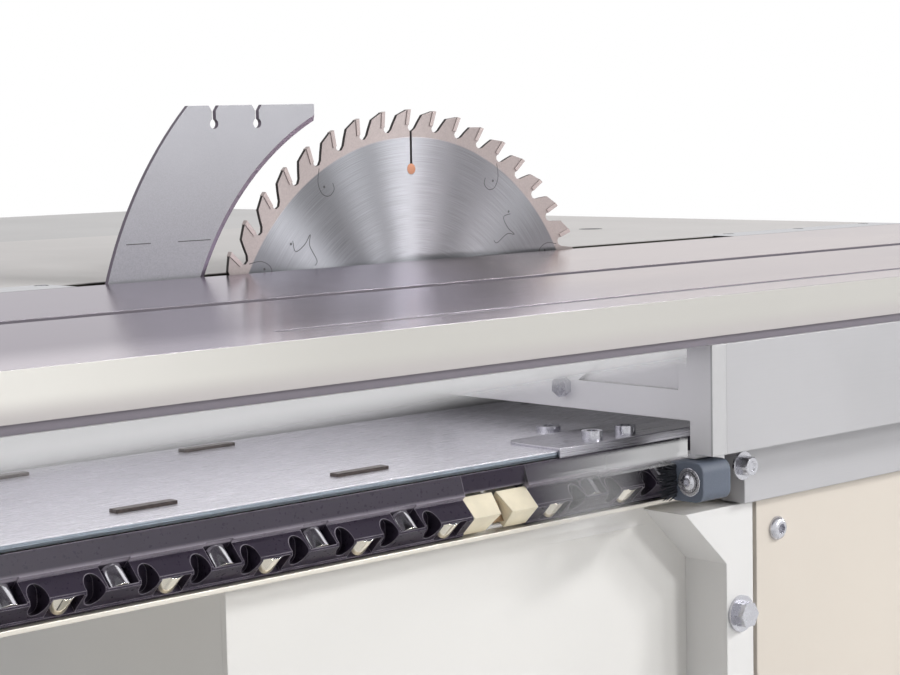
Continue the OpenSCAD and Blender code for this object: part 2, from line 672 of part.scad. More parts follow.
module pocket_row(row, side) for (r = cage_row()) {
    x = r[0] + (r[0] < rear_cage[1] ? -1 : 1) * roller_pitch / 2;
    outer = -row - side * roller_diameter;
    floor = -row + side * pocket_floor;
    near = min(outer, floor);
    far = max(outer, floor);
    if (x - pocket_radius > rear_cage[0] + seat_gap && x + pocket_radius < front_cage[1] - seat_gap) {
        box([x - pocket_radius, near, -row_depth - pocket_rise],
            [x + pocket_radius, far, -row_depth + pocket_rise]);
        for (rise = [-pocket_rise, pocket_rise]) bar_y(near, far, x, -row_depth + rise, pocket_radius);
    }
}
module cage_set(row, side) difference() {
    translate([0, -row, 0]) scale([1, side, 1]) {
        for (c = [rear_cage, front_cage]) strip(c[0], c[1], cage_profile());
        strip(rear_cage[1] - link_lap, front_cage[0] + link_lap, link_profile());
    }
    rollers(row, side, window_room, roller_length + window_room);
    seats(row, side);
    pocket_row(row, side);
}
module outer_cages() color([0.34, 0.31, 0.36]) here() cage_set(outer_row, 1);
module inner_cages() color([0.34, 0.31, 0.36]) here() cage_set(inner_row, -1);
module outer_rollers() color([0.80, 0.80, 0.80]) here() rollers(outer_row, 1, 0, roller_length);
module inner_rollers() color([0.80, 0.80, 0.80]) here() rollers(inner_row, -1, 0, roller_length);
wiper_half = 8.3;
wiper_gap = 1;
wiper_slant = 6;
function wiper_profile() = [[-outer_row - wiper_half, -row_depth], [-outer_row, -row_depth + wiper_half],
    [-outer_row + wiper_half, -row_depth], [-outer_row, -row_depth - wiper_half]];
module cage_wipers() color([0.93, 0.89, 0.78]) here() difference() {
    middle = (rear_cage[1] + front_cage[0]) / 2;
    strip(rear_cage[1], front_cage[0], wiper_profile());
    wall(-outer_row - roller_diameter, -outer_row + roller_diameter, [
        [middle - wiper_gap, -row_depth + wiper_half + cut],
        [middle + wiper_gap, -row_depth + wiper_half + cut],
        [middle + wiper_slant, -row_depth - wiper_half - cut],
        [middle - wiper_slant, -row_depth - wiper_half - cut]]);
}

// Tilting frame with its posts and screw
frame_half = 268;
cheek = 12;
frame_near = 45;
frame_far = 80;
frame_low = 380;
frame_bar = 15;
lug_top = 85;
lug_low = 100;
lug_inner = 95;
tongue_inner = 180;
tongue_outer = 190;
tongue_depth = 6;
shoe_inner = 172;
shoe_outer = 198;
shoe_angles = [-14, 6];
bracket_inner = 168;
bracket_outer = 205;
bracket_angles = [-26, 52];
bracket_wall = 14;
bracket_post = [58, 92];
bracket_gap = 2;
post_radius = 12;
post_reach = 190;
screw_reach = 125;
screw_radius = 9;
scoring_x = 222;
scoring_depth = 68;
scoring_boss = 28;
module trunnion_brackets() color([0.25, 0.26, 0.28]) here() for (side = [-1, 1]) scale([side, 1,
    1]) difference() {
    x = frame_half + bracket_gap;
    union() {
        sector_x(x, x + bracket_wall, bracket_inner, bracket_outer, bracket_angles[0], bracket_angles[1]);
        box([x, bracket_post[0], -bracket_outer + rim_wall * 2], [x + bracket_wall, bracket_post[1],
            -fixed_plate]);
    }
    sector_x(x - cut, x + tongue_depth, tongue_inner - slip, tongue_outer + slip,
        bracket_angles[0] - cheek, bracket_angles[1] + cheek);
}
module tilt_frame() color([0.25, 0.40, 0.55]) here()
    box([-frame_half + cheek, frame_near, -frame_low], [frame_half - cheek, frame_far,
        -frame_low + frame_bar]);
module tilt_cheeks() color([0.25, 0.40, 0.55]) here() difference() {
    union() {
        for (side = [-1, 1]) scale([side, 1, 1]) {
            box([frame_half - cheek, frame_near, -frame_low], [frame_half, frame_far, -lug_top]);
            sector_x(frame_half - cheek, frame_half, shoe_inner, shoe_outer, shoe_angles[0],
                shoe_angles[1]);
            sector_x(frame_half, frame_half + bracket_gap + tongue_depth - slip, tongue_inner, tongue_outer,
                shoe_angles[0], shoe_angles[1]);
            box([post_reach - post_radius * 2, frame_near, -lug_low], [frame_half - cheek, frame_far,
                -lug_top]);
        }
        box([lug_inner, frame_near, -lug_low], [post_reach, frame_far, -lug_top]);
        bar_y(frame_near / 3, frame_far + frame_near, scoring_x, -scoring_depth, scoring_boss);
        box([scoring_x - scoring_boss / 2, frame_near, -lug_top], [scoring_x + scoring_boss / 2,
            frame_far, -scoring_depth]);
    }
    bar_x(frame_half - cheek - cut, frame_half + cut, wheel_y, wheel_z, wheel_shaft / 2 + fit);
    bar_y(-cut, frame_far, scoring_x, -scoring_depth, scoring_shaft + fit);
}
scoring_shaft = 10;
scoring_radius = 60;
scoring_plate = 3;
scoring_teeth = 24;
scoring_bite = 4;
scoring_flange_share = 0.8;
scoring_nut_share = 0.7;
scoring_turn_shares = [0, 0.27, 0.6, 0.9];
scoring_drop_shares = [0, 0.5, 1.5, 1];
scoring_step = 360 / scoring_teeth;
module scoring_spindle() color([0.55, 0.56, 0.58]) here() {
    bar_y(-scoring_plate / 2, frame_far - cut * 2, scoring_x, -scoring_depth, scoring_shaft);
    difference() {
        bar_y(scoring_plate / 2, scoring_plate / 2 + insert_height, scoring_x, -scoring_depth,
            scoring_boss * scoring_flange_share);
        bar_y(0, frame_near, scoring_x, -scoring_depth, scoring_shaft);
    }
    bar_y(-scoring_plate / 2 - scoring_bite, -scoring_plate / 2, scoring_x, -scoring_depth,
        scoring_boss * scoring_nut_share);
}
module scoring_blade() color([0.72, 0.72, 0.74]) here()
    translate([scoring_x, scoring_plate / 2, -scoring_depth]) rotate([90, 0, 0])
    linear_extrude(scoring_plate) difference() {
        polygon([for (k = [0 : scoring_teeth - 1]) for (i = [0 : len(scoring_turn_shares) - 1])
            polar(scoring_radius - scoring_bite * scoring_drop_shares[i],
                scoring_step * (k + scoring_turn_shares[i]))]);
        circle(scoring_shaft);
    }
module lift_posts() color([0.75, 0.75, 0.77]) here() for (side = [-1, 1])
    bar_z(-frame_low + frame_bar, -lug_low, side * post_reach, (frame_near + frame_far) / 2, post_radius);
module lift_screw() color([0.60, 0.60, 0.62]) here()
    bar_z(-frame_low + frame_bar, -lug_low, screw_reach, (frame_near + frame_far) / 2, screw_radius);

// Lift carriage with arbor, motor, belt and knife
carriage_near = 40;
carriage_far = 84;
carriage_half = 225;
carriage_high = 112;
carriage_low = 222;
neck_half = 60;
housing_radius = 32;
housing_start = 12;
housing_end = 120;
pulley_start = 125;
pulley_end = 150;
pulley_radius = 36;
motor_x = -170;
motor_z = -187;
motor_pulley_radius = 45;
motor_plate_start = 155;
motor_plate_end = 165;
motor_plate_half = 80;
arm_low = 262;
arm_high = 242;
shaft_radius = 15;
motor_shaft = 14;
shaft_room = 7;
box_reach_share = 0.625;
box_rise_share = 0.64;
holder_rear = -216;
holder_front = -172;
holder_low = 178;
holder_high = 122;
holder_wall = 8;
module lift_carriage() color([0.22, 0.23, 0.26]) here() difference() {
    union() {
        box([-carriage_half, carriage_near, -carriage_low], [carriage_half, carriage_far, -carriage_high]);
        box([-neck_half, carriage_near, -carriage_high], [neck_half, carriage_far, -arbor_depth]);
        bar_y(housing_start, housing_end, 0, -arbor_depth, housing_radius);
        box([motor_x - motor_plate_half, carriage_far, -arm_low], [motor_x + motor_plate_half,
            motor_plate_start, -arm_high]);
        box([motor_x - motor_plate_half, carriage_near, -arm_low], [motor_x + motor_plate_half,
            carriage_far, -carriage_low]);
        box([motor_x - motor_plate_half, motor_plate_start, -arm_low], [motor_x + motor_plate_half,
            motor_plate_end, -carriage_high]);
    }
    bar_y(housing_start - cut, housing_end + cut, 0, -arbor_depth, shaft_radius + fit);
    for (side = [-1, 1]) bar_z(-frame_low, -lug_top, side * post_reach, (frame_near + frame_far) / 2,
        post_radius + fit);
    bar_z(-frame_low, -lug_top, screw_reach, (frame_near + frame_far) / 2, screw_radius + fit);
    bar_y(carriage_far, motor_plate_end + cut, motor_x, motor_z, motor_shaft + shaft_room);
}
module motor() color([0.30, 0.36, 0.42]) here() difference() {
    union() {
        bar_y(motor_plate_end, motor_plate_end + motor_length, motor_x, motor_z, motor_diameter / 2);
        box([motor_x - motor_diameter / 4, motor_plate_end + motor_length / 4, motor_z],
            [motor_x + motor_diameter / 4, motor_plate_end + motor_length * box_reach_share,
             motor_z + motor_diameter * box_rise_share]);
    }
    bar_y(motor_plate_end - cut, motor_plate_end + motor_length / 4, motor_x, motor_z, motor_shaft + fit);
}
module motor_pulley() color([0.50, 0.50, 0.52]) here() {
    bar_y(pulley_start, pulley_end, motor_x, motor_z, motor_pulley_radius);
    bar_y(pulley_end, motor_plate_end + motor_length / 4 - cut, motor_x, motor_z, motor_shaft);
}
belt_wall = 5;
belt_margin = 2;
belt_span = norm([motor_x, motor_z + arbor_depth]);
belt_turn = atan2(motor_z + arbor_depth, motor_x);
belt_lean = acos((pulley_radius - motor_pulley_radius) / belt_span);
belt_steps = 24;
// One loop round both pulleys, standing a little off their faces
function belt_loop(room) = concat(
    [for (i = [0 : belt_steps]) let(a = belt_turn - belt_lean + 2 * belt_lean * i / belt_steps)
        [motor_x, motor_z] + (motor_pulley_radius + room) * [cos(a), sin(a)]],
    [for (i = [0 : belt_steps]) let(a = belt_turn + belt_lean + 2 * (180 - belt_lean) * i / belt_steps)
        [0, -arbor_depth] + (pulley_radius + room) * [cos(a), sin(a)]]);
module drive_belt() color([0.08, 0.08, 0.08]) here() translate([0, pulley_end - belt_margin, 0])
    rotate([90, 0, 0]) linear_extrude(pulley_end - pulley_start - belt_margin * 2) difference() {
        polygon(belt_loop(slip + belt_wall));
        polygon(belt_loop(slip));
    }
module knife_holder() color([0.35, 0.36, 0.38]) here() {
    box([holder_rear, knife_plate / 2, -holder_low], [holder_front, carriage_near, -holder_high]);
    box([holder_rear, -knife_plate / 2 - holder_wall, -holder_low], [holder_front, -knife_plate / 2,
        -holder_high]);
    bar_y(-knife_plate / 2 - holder_wall, carriage_near, (holder_rear + holder_front) / 2,
        -(holder_low + holder_high) / 2, cap_radius);
}
knife_corner = 3;
keyhole_places = [-145.1, -115.1];
keyhole_depth = 10.5;
keyhole_radius = 2.8;
keyhole_neck = 2.6;
keyhole_mouth = 4.4;
knife_right = -73.6;
knife_reach = 249;
knife_heel = 63;
knife_tang = -173;
knife_bevel = 3;
function keyhole() = [[-keyhole_mouth, cut], [keyhole_mouth, cut],
    [keyhole_neck / 2, -keyhole_depth / 3], [keyhole_neck / 2, -keyhole_depth],
    [-keyhole_neck / 2, -keyhole_depth], [-keyhole_neck / 2, -keyhole_depth / 3]];
module riving_knife() color([0.72, 0.72, 0.75]) here() difference() {
    translate([0, knife_plate / 2, 0]) rotate([90, 0, 0]) linear_extrude(knife_plate) difference() {
        intersection() {
            translate([0, -arbor_depth]) difference() {
                circle(blade_radius + knife_gap + knife_width, $fn = 180);
                circle(blade_radius + knife_gap, $fn = 180);
            }
            polygon([[-knife_reach, knife_top - cut], [knife_right, knife_top],
                [knife_right, knife_top - knife_corner * 3], [-knife_heel, -arbor_depth],
                [-blade_radius - knife_gap, -holder_high], [knife_tang, -holder_high],
                [knife_tang, -holder_low], [holder_rear, -holder_low], [holder_rear, -holder_high],
                [-knife_reach, -arbor_depth]]);
        }
        for (x = keyhole_places) {
            translate([x, knife_top - keyhole_depth]) circle(keyhole_radius, $fn = 32);
            translate([x, knife_top]) polygon(keyhole());
        }
        translate([(holder_rear + holder_front) / 2, -(holder_low + holder_high) / 2]) circle(cap_radius);
    }
    for (side = [-1, 1]) translate([0, side * knife_plate / 2, -arbor_depth]) rotate([side * 90, 0, 0])
        cylinder(h = knife_plate * 2 / 3, r1 = blade_radius + knife_gap + knife_bevel,
            r2 = blade_radius + knife_gap - knife_bevel, $fn = 180);
}
flange_radius = 36;
flange_wall = 8;
module arbor() color([0.55, 0.56, 0.58]) here() {
    bar_y(-blade_plate / 2 - flange_wall / 2, pulley_start, 0, -arbor_depth, shaft_radius);
    difference() {
        bar_y(blade_plate / 2, blade_plate / 2 + flange_wall, 0, -arbor_depth, flange_radius);
        bar_y(0, pulley_start, 0, -arbor_depth, shaft_radius);
    }
    bar_y(pulley_start, pulley_end, 0, -arbor_depth, pulley_radius);
}
module clamp_flange() color([0.50, 0.51, 0.53]) here() difference() {
    bar_y(-blade_plate / 2 - flange_wall, -blade_plate / 2, 0, -arbor_depth, flange_radius);
    bar_y(-blade_plate / 2 - flange_wall / 2, 0, 0, -arbor_depth, shaft_radius);
    hex_y(-blade_plate / 2 - flange_wall - cut, -blade_plate / 2 - flange_wall / 2, 0, -arbor_depth,
        cap_radius);
}
function polar(r, a) = [r * sin(a), r * cos(a)];
seat_angle = 1.0;
seat_depth = 9.2;
rake_angle = 0.74;
tip_drop = 0.2;
gullet_drop_shares = [0.24, 0.56, 0.87, 1, 0.96, 0.83];
gullet_turn_shares = [0.53, 0.68, 0.82, 0.95, 1.08, 1.13];
function tooth(a) = concat(
    [polar(blade_radius - tip_drop, a - seat_angle)],
    [for (i = [0 : len(gullet_turn_shares) - 1])
        polar(blade_radius - gullet_depth * gullet_drop_shares[i],
            a - tooth_angle * gullet_turn_shares[i])],
    [polar(blade_radius - seat_depth, a - tooth_angle - rake_angle),
     polar(blade_radius - seat_depth, a - tooth_angle - rake_angle - seat_angle)]);
slot_count = 4;
slot_width = 1.7;
slot_inner = 122;
slot_eye = 3.3;
slot_angle = 0.3;
module blade_place() translate([0, 0, -arbor_depth]) rotate([90, 0, 0]) children();
module saw_blade() color([0.80, 0.80, 0.81]) here() blade_place() linear_extrude(blade_plate,
    center = true) difference() {
    polygon([for (k = [0 : tooth_count - 1]) for (p = tooth(first_tip_angle - k * tooth_angle)) p]);
    circle(blade_bore / 2, $fn = 64);
    for (k = [0 : slot_count - 1]) rotate(-slot_angle - k * 360 / slot_count) {
        translate([-slot_width / 2, slot_inner]) square([slot_width,
            blade_radius - gullet_depth / 2 - slot_inner]);
        translate([0, slot_inner]) circle(slot_eye, $fn = 32);
    }
}
module carbide_tips() color([0.25, 0.24, 0.24]) here() blade_place() linear_extrude(kerf, center = true)
    for (k = [0 : tooth_count - 1]) {
        a = first_tip_angle - k * tooth_angle;
        polygon([polar(blade_radius, a), polar(blade_radius - tip_drop, a - seat_angle),
            polar(blade_radius - seat_depth, a - rake_angle - seat_angle),
            polar(blade_radius - seat_depth, a - rake_angle)]);
    }

// Hand wheels with a crank grip
wheel_gap = 22;
wheel_wall = 14;
hub_radius = 24;
hub_length = 34;
grip_radius = 11;
grip_length = 60;
rim_share = 0.80;
grip_place_share = 0.44;
pin_share = 0.6;
module hand_wheel(x0, y) {
    face = cabinet_front + wheel_gap;
    bar_x(x0, face + hub_length, y, wheel_z, wheel_shaft / 2);
    difference() {
        union() {
            bar_x(face, face + wheel_wall, y, wheel_z, wheel_diameter / 2);
            bar_x(face, face + hub_length, y, wheel_z, hub_radius);
        }
        bar_x(x0, face + hub_length + cut, y, wheel_z, wheel_shaft / 2);
        difference() {
            bar_x(face + wheel_wall / 2, face + wheel_wall + cut, y, wheel_z,
                wheel_diameter / 2 * rim_share);
            bar_x(face, face + hub_length, y, wheel_z, hub_radius);
        }
    }
    grip_y = y + wheel_diameter * grip_place_share;
    bar_x(face + wheel_wall, face + wheel_wall + grip_length, grip_y, wheel_z, grip_radius * pin_share);
    bar_x(face + wheel_wall + bolt_height, face + wheel_wall + grip_length, grip_y, wheel_z, grip_radius);
}
module height_wheel() color([0.12, 0.12, 0.13]) here() hand_wheel(frame_half - cheek, wheel_y);
tilt_shaft_reach = 40;
tilt_shaft_start = cabinet_front - tilt_shaft_reach;
module tilt_wheel() color([0.12, 0.12, 0.13]) here() hand_wheel(tilt_shaft_start, second_wheel_y);

base_frame();
left_panel();
right_panel();
front_panel();
rear_panel();
access_door();
door_hinges();
door_knob();
fixed_table();
table_insert();
table_extension();
fence_rail();
rail_brackets();
guide_beam();
cover_strip();
felt_wipers();
outer_lower_rail();
inner_lower_rail();
clamp_block();
clamp_screws();
beam_console();
console_bolts();
side_cover();
trunnion_brackets();
control_box();
start_button();
stop_button();
dust_outlet();
table_deck();
rear_skirt();
front_skirt();
inner_skirt();
carriage_bridges();
bridge_bolts();
buffer_block();
buffer_screw();
table_end_caps();
outer_cages();
outer_rollers();
cage_wipers();
inner_cages();
inner_rollers();
tilt_frame();
tilt_cheeks();
lift_posts();
lift_screw();
lift_carriage();
motor();
motor_pulley();
drive_belt();
knife_holder();
riving_knife();
arbor();
clamp_flange();
saw_blade();
carbide_tips();
scoring_spindle();
scoring_blade();
height_wheel();
tilt_wheel();
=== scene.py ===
"""Sliding table saw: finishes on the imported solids, small fittings, stage and camera."""

import json
import math
import random

import bmesh
import bpy
from mathutils import Matrix, Vector


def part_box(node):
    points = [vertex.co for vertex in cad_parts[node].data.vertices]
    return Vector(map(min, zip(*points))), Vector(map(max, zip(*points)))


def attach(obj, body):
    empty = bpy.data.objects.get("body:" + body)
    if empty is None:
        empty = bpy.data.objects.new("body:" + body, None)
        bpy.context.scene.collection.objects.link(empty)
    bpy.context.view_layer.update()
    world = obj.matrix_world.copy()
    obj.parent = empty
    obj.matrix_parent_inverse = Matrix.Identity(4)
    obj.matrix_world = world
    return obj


bl_info = {
    "name": "Sliding table saw",
    "version": (1, 0, 0),
    "blender": (4, 5, 0),
    "location": "3D View > Sidebar > Table saw",
    "description": "Dresses the packed table saw with finishes and small fittings",
    "category": "Object",
}

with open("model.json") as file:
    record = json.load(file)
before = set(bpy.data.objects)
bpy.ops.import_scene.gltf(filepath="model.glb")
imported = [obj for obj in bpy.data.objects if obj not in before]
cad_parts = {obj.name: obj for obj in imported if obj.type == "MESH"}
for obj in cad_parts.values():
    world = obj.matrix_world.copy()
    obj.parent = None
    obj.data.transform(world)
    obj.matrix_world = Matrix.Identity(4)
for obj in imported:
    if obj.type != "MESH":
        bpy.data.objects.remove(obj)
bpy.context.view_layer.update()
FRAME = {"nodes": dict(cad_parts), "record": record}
NODES = FRAME["nodes"]
SLOTS = {row["node"]: row["material_slot"] for row in FRAME["record"]["subparts"]}

MM = 0.001
FULL_TURN = 2 * math.pi


def middle(node):
    """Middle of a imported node's box."""
    low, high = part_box(node)
    return (low + high) / 2


AXLE = middle("saw_blade")
DECK_LOW, DECK_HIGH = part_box("table_deck")
TABLE_TOP = DECK_HIGH.z


def spot(x, y, z):
    """Point given in millimetres from the blade's middle line at table height."""
    return Vector((AXLE.x + x * MM, AXLE.y + y * MM, TABLE_TOP + z * MM))


# Properties that a user would change


def colour(label, note, value):
    """Colour property of one finish."""
    return bpy.props.FloatVectorProperty(
        name=label, description=note, default=value, subtype="COLOR", size=3, min=0.0, max=1.0
    )


def length(label, note, value):
    """Length property, kept in metres."""
    return bpy.props.FloatProperty(
        name=label, description=note, default=value, subtype="DISTANCE", unit="LENGTH", min=0.0
    )


def amount(label, note, value):
    """Plain number property."""
    return bpy.props.FloatProperty(name=label, description=note, default=value, min=0.0)


class SawColours(bpy.types.PropertyGroup):
    """Base colours of the finishes, named by material slot."""

    body_paint: colour("Body paint", "Powder coat of the cabinet", (0.78, 0.765, 0.74))
    door_paint: colour("Door paint", "Powder coat of the access door", (0.64, 0.61, 0.56))
    base_paint: colour("Base paint", "Paint of the base frame", (0.045, 0.046, 0.052))
    console_paint: colour("Console paint", "Paint of the beam console", (0.74, 0.73, 0.72))
    cover_paint: colour("Cover paint", "Powder coat of the side cover", (0.66, 0.60, 0.53))
    cast_dark: colour("Dark casting", "Paint of the trunnions and the carriage", (0.05, 0.053, 0.06))
    frame_paint: colour("Frame paint", "Paint of the tilting frame", (0.045, 0.085, 0.16))
    motor_paint: colour("Motor paint", "Paint of the motor", (0.06, 0.085, 0.12))
    table_cast: colour("Cast table", "Planed cast iron of the fixed table", (0.60, 0.58, 0.573))
    extension_steel: colour("Extension", "Coated sheet of the table extension", (0.52, 0.51, 0.51))
    deck_top: colour("Deck top", "Anodised top of the sliding table", (0.54, 0.51, 0.55))
    # Painted warm reflection on the front half of the deck's top
    deck_warm: colour("Deck front", "Warm bright front half of the deck", (0.75, 0.70, 0.69))
    # Painted highlight along the near edge of the deck's top
    deck_worn: colour("Deck edge", "Top of the sliding table, rubbed bright by hands", (0.94, 0.90, 0.93))
    deck_side: colour("Deck side", "Side band of the sliding table", (0.80, 0.78, 0.735))
    # Painted shade on the lower part of the side band
    deck_foot: colour("Deck side foot", "Lower part of the side band", (0.49, 0.46, 0.455))
    deck_lip: colour("Deck lip", "Dull lip under the side band", (0.50, 0.47, 0.48))
    deck_groove: colour("Deck grooves", "Shade in the grooves and along the edges", (0.20, 0.18, 0.21))
    skirt_clear: colour("Clear skirt", "See-through skirt", (0.72, 0.72, 0.73))
    skirt_aluminium: colour("Skirt", "Anodised skirt extrusion", (0.46, 0.455, 0.47))
    bridge_aluminium: colour("Bridges", "Cast bridges under the deck", (0.76, 0.755, 0.77))
    beam_aluminium: colour("Beam", "Anodised guide beam", (0.72, 0.68, 0.61))
    cover_steel: colour("Cover plate", "Brushed plate on the beam", (0.66, 0.65, 0.70))
    cover_edge: colour("Cover edge", "Sawn edge of the cover plate", (0.27, 0.31, 0.36))
    way_steel: colour("Ways", "Ground steel ways", (0.50, 0.50, 0.51))
    clamp_steel: colour("Clamp block", "Satin steel of the clamp block", (0.48, 0.47, 0.51))
    screw_steel: colour("Screws", "Zinc plated fasteners", (0.56, 0.56, 0.60))
    slot_shade: colour("Slot shade", "Dark walls of the blade slot", (0.045, 0.042, 0.036))
    insert_steel: colour("Insert", "Steel strips beside the blade", (0.42, 0.42, 0.45))
    hinge_steel: colour("Hinges", "Satin steel of the hinges", (0.42, 0.42, 0.44))
    rail_steel: colour("Rail", "Polished bar of the fence and the lift posts", (0.66, 0.66, 0.68))
    machined_steel: colour("Turned steel", "Spindles, pulleys and flanges", (0.46, 0.46, 0.48))
    roller_steel: colour("Rollers", "Polished rollers", (0.52, 0.52, 0.54))
    # Painted warm reflection on the lower sides of the rollers
    roller_warm: colour("Roller undersides", "Oiled lower sides of the rollers", (0.84, 0.79, 0.69))
    knife_steel: colour("Knife", "Satin steel of the riving knife", (0.268, 0.268, 0.286))
    blade_body: colour("Blade", "Brushed steel of the blade", (0.193, 0.197, 0.212))
    blade_rim: colour("Blade rim", "Heat toned band at the teeth", (0.45, 0.392, 0.382))
    blade_cut: colour("Blade cuts", "Laser cut faces of the blade", (0.055, 0.048, 0.048))
    knife_bevel: colour("Knife bevel", "Dark bevel of the knife", (0.13, 0.11, 0.14))
    carbide: colour("Carbide", "Sintered tips", (0.40, 0.34, 0.33))
    copper: colour("Copper", "Plugs in the blade's slots", (0.40, 0.20, 0.13))
    engraved: colour("Engraving", "Darkened cuts in steel", (0.045, 0.044, 0.046))
    felt: colour("Felt", "Wipers on the beam", (0.055, 0.041, 0.037))
    cage_plastic: colour("Cages", "Moulded roller cages", (0.031, 0.024, 0.039))
    # Painted highlight on the edges and the bend of the roller cages
    cage_edge: colour("Cage edges", "Rubbed edges of the roller cages", (0.40, 0.36, 0.42))
    wiper_plastic: colour("Wipers", "Ivory cage ends", (0.84, 0.76, 0.58))
    buffer_rubber: colour("Buffer", "Rubber buffer block", (0.096, 0.114, 0.152))
    brown_felt: colour("Brown felt", "Wedge between the ivory wipers", (0.30, 0.20, 0.11))
    bristle: colour("Bristles", "Brush beside the buffer", (0.02, 0.022, 0.03))
    belt_rubber: colour("Belt", "Drive belt", (0.012, 0.012, 0.013))
    knob_plastic: colour("Knobs", "Hand wheels, knob and end caps", (0.018, 0.018, 0.02))
    control_plastic: colour("Control box", "Moulded switch box", (0.03, 0.032, 0.036))
    outlet_plastic: colour("Outlet", "Dust outlet", (0.022, 0.022, 0.024))
    start_green: colour("Start button", "Green push button", (0.015, 0.20, 0.05))
    stop_red: colour("Stop button", "Red push button", (0.48, 0.018, 0.014))
    collar_yellow: colour("Collar", "Yellow ring behind the stop button", (0.75, 0.50, 0.03))


class SawFittings(bpy.types.PropertyGroup):
    """Sizes of the fittings that are made here."""

    plug_radius: length("Plug radius", "Copper plugs in the blade's slots", 3.2 * MM)
    cut_width: length("Cut width", "Damping cuts in the blade", 0.5 * MM)
    line_width: length("Line width", "Engraved line on the knife", 0.5 * MM)
    panel_screw: length("Panel screw", "Head radius of the panel screws", 6.0 * MM)
    insert_screw: length("Insert screw", "Head radius of the insert screws", 3.8 * MM)
    leg_bolt: length("Leg bolt", "Corner radius of the leg bolt", 4.9 * MM)
    bristle_length: length("Bristle length", "Reach of the brush", 7.0 * MM)
    bristle_radius: length("Bristle radius", "Thickness of one tuft", 0.4 * MM)
    washer_inner: length("Washer bore", "Ring round the buffer's screw", 5.1 * MM)
    washer_outer: length("Washer radius", "Ring round the buffer's screw", 6.6 * MM)
    buffer_button: length("Buffer button", "Domed head on the buffer's screw", 3.9 * MM)
    plug_cover: length("Plug cover", "Radius of the plug in the fixed table", 9.0 * MM)
    louvre_height: length("Louvre height", "Rise of one louvre on the door", 7.0 * MM)
    fin_depth: length("Fin depth", "Height of the motor's fins", 5.0 * MM)
    collar_width: length("Collar width", "Ring behind a push button", 6.0 * MM)


class SawStage(bpy.types.PropertyGroup):
    """Camera, lamps and floor."""

    lens: bpy.props.FloatProperty(
        name="Lens", description="Focal length", default=85.196, subtype="DISTANCE_CAMERA", min=1.0
    )
    camera_place: bpy.props.FloatVectorProperty(
        name="Camera", description="Where the camera stands", default=(-0.7815, -1.23675, 0.9577),
        subtype="TRANSLATION", unit="LENGTH", size=3
    )
    heading: bpy.props.FloatProperty(
        name="Heading", description="Turn from +Y towards +X", default=math.radians(43.05), subtype="ANGLE"
    )
    pitch: bpy.props.FloatProperty(
        name="Pitch", description="Upward tilt", default=math.radians(-5.6), subtype="ANGLE"
    )
    roll: bpy.props.FloatProperty(
        name="Roll", description="Turn about the line of sight", default=math.radians(-1.18), subtype="ANGLE"
    )
    drop_share: amount("Frame drop", "Shift of the frame as a share of its width", 0.0011)
    sky: amount("Sky", "Strength of the even light", 0.36)
    floor_colour: colour("Floor", "Pale floor", (0.86, 0.86, 0.86))


# Building materials

WHITE = (1.0, 1.0, 1.0)
# Sockets of the mix node that hold colours
MIX_FIRST = 6
MIX_SECOND = 7
MIX_RESULT = 2
# Parts of a noise pattern that a change is spread over
SOFT = (0.3, 0.7)
FINE = (0.25, 0.75)
BRIGHT = (0.3, 0.75)
CHIPS = (0.35, 0.7)
# Agreement of the face's normal with the eased one, where the edge share starts and where it is full; the
# share carries wear, painted shade and painted highlights
SHARP_EDGE = (0.995, 0.9)


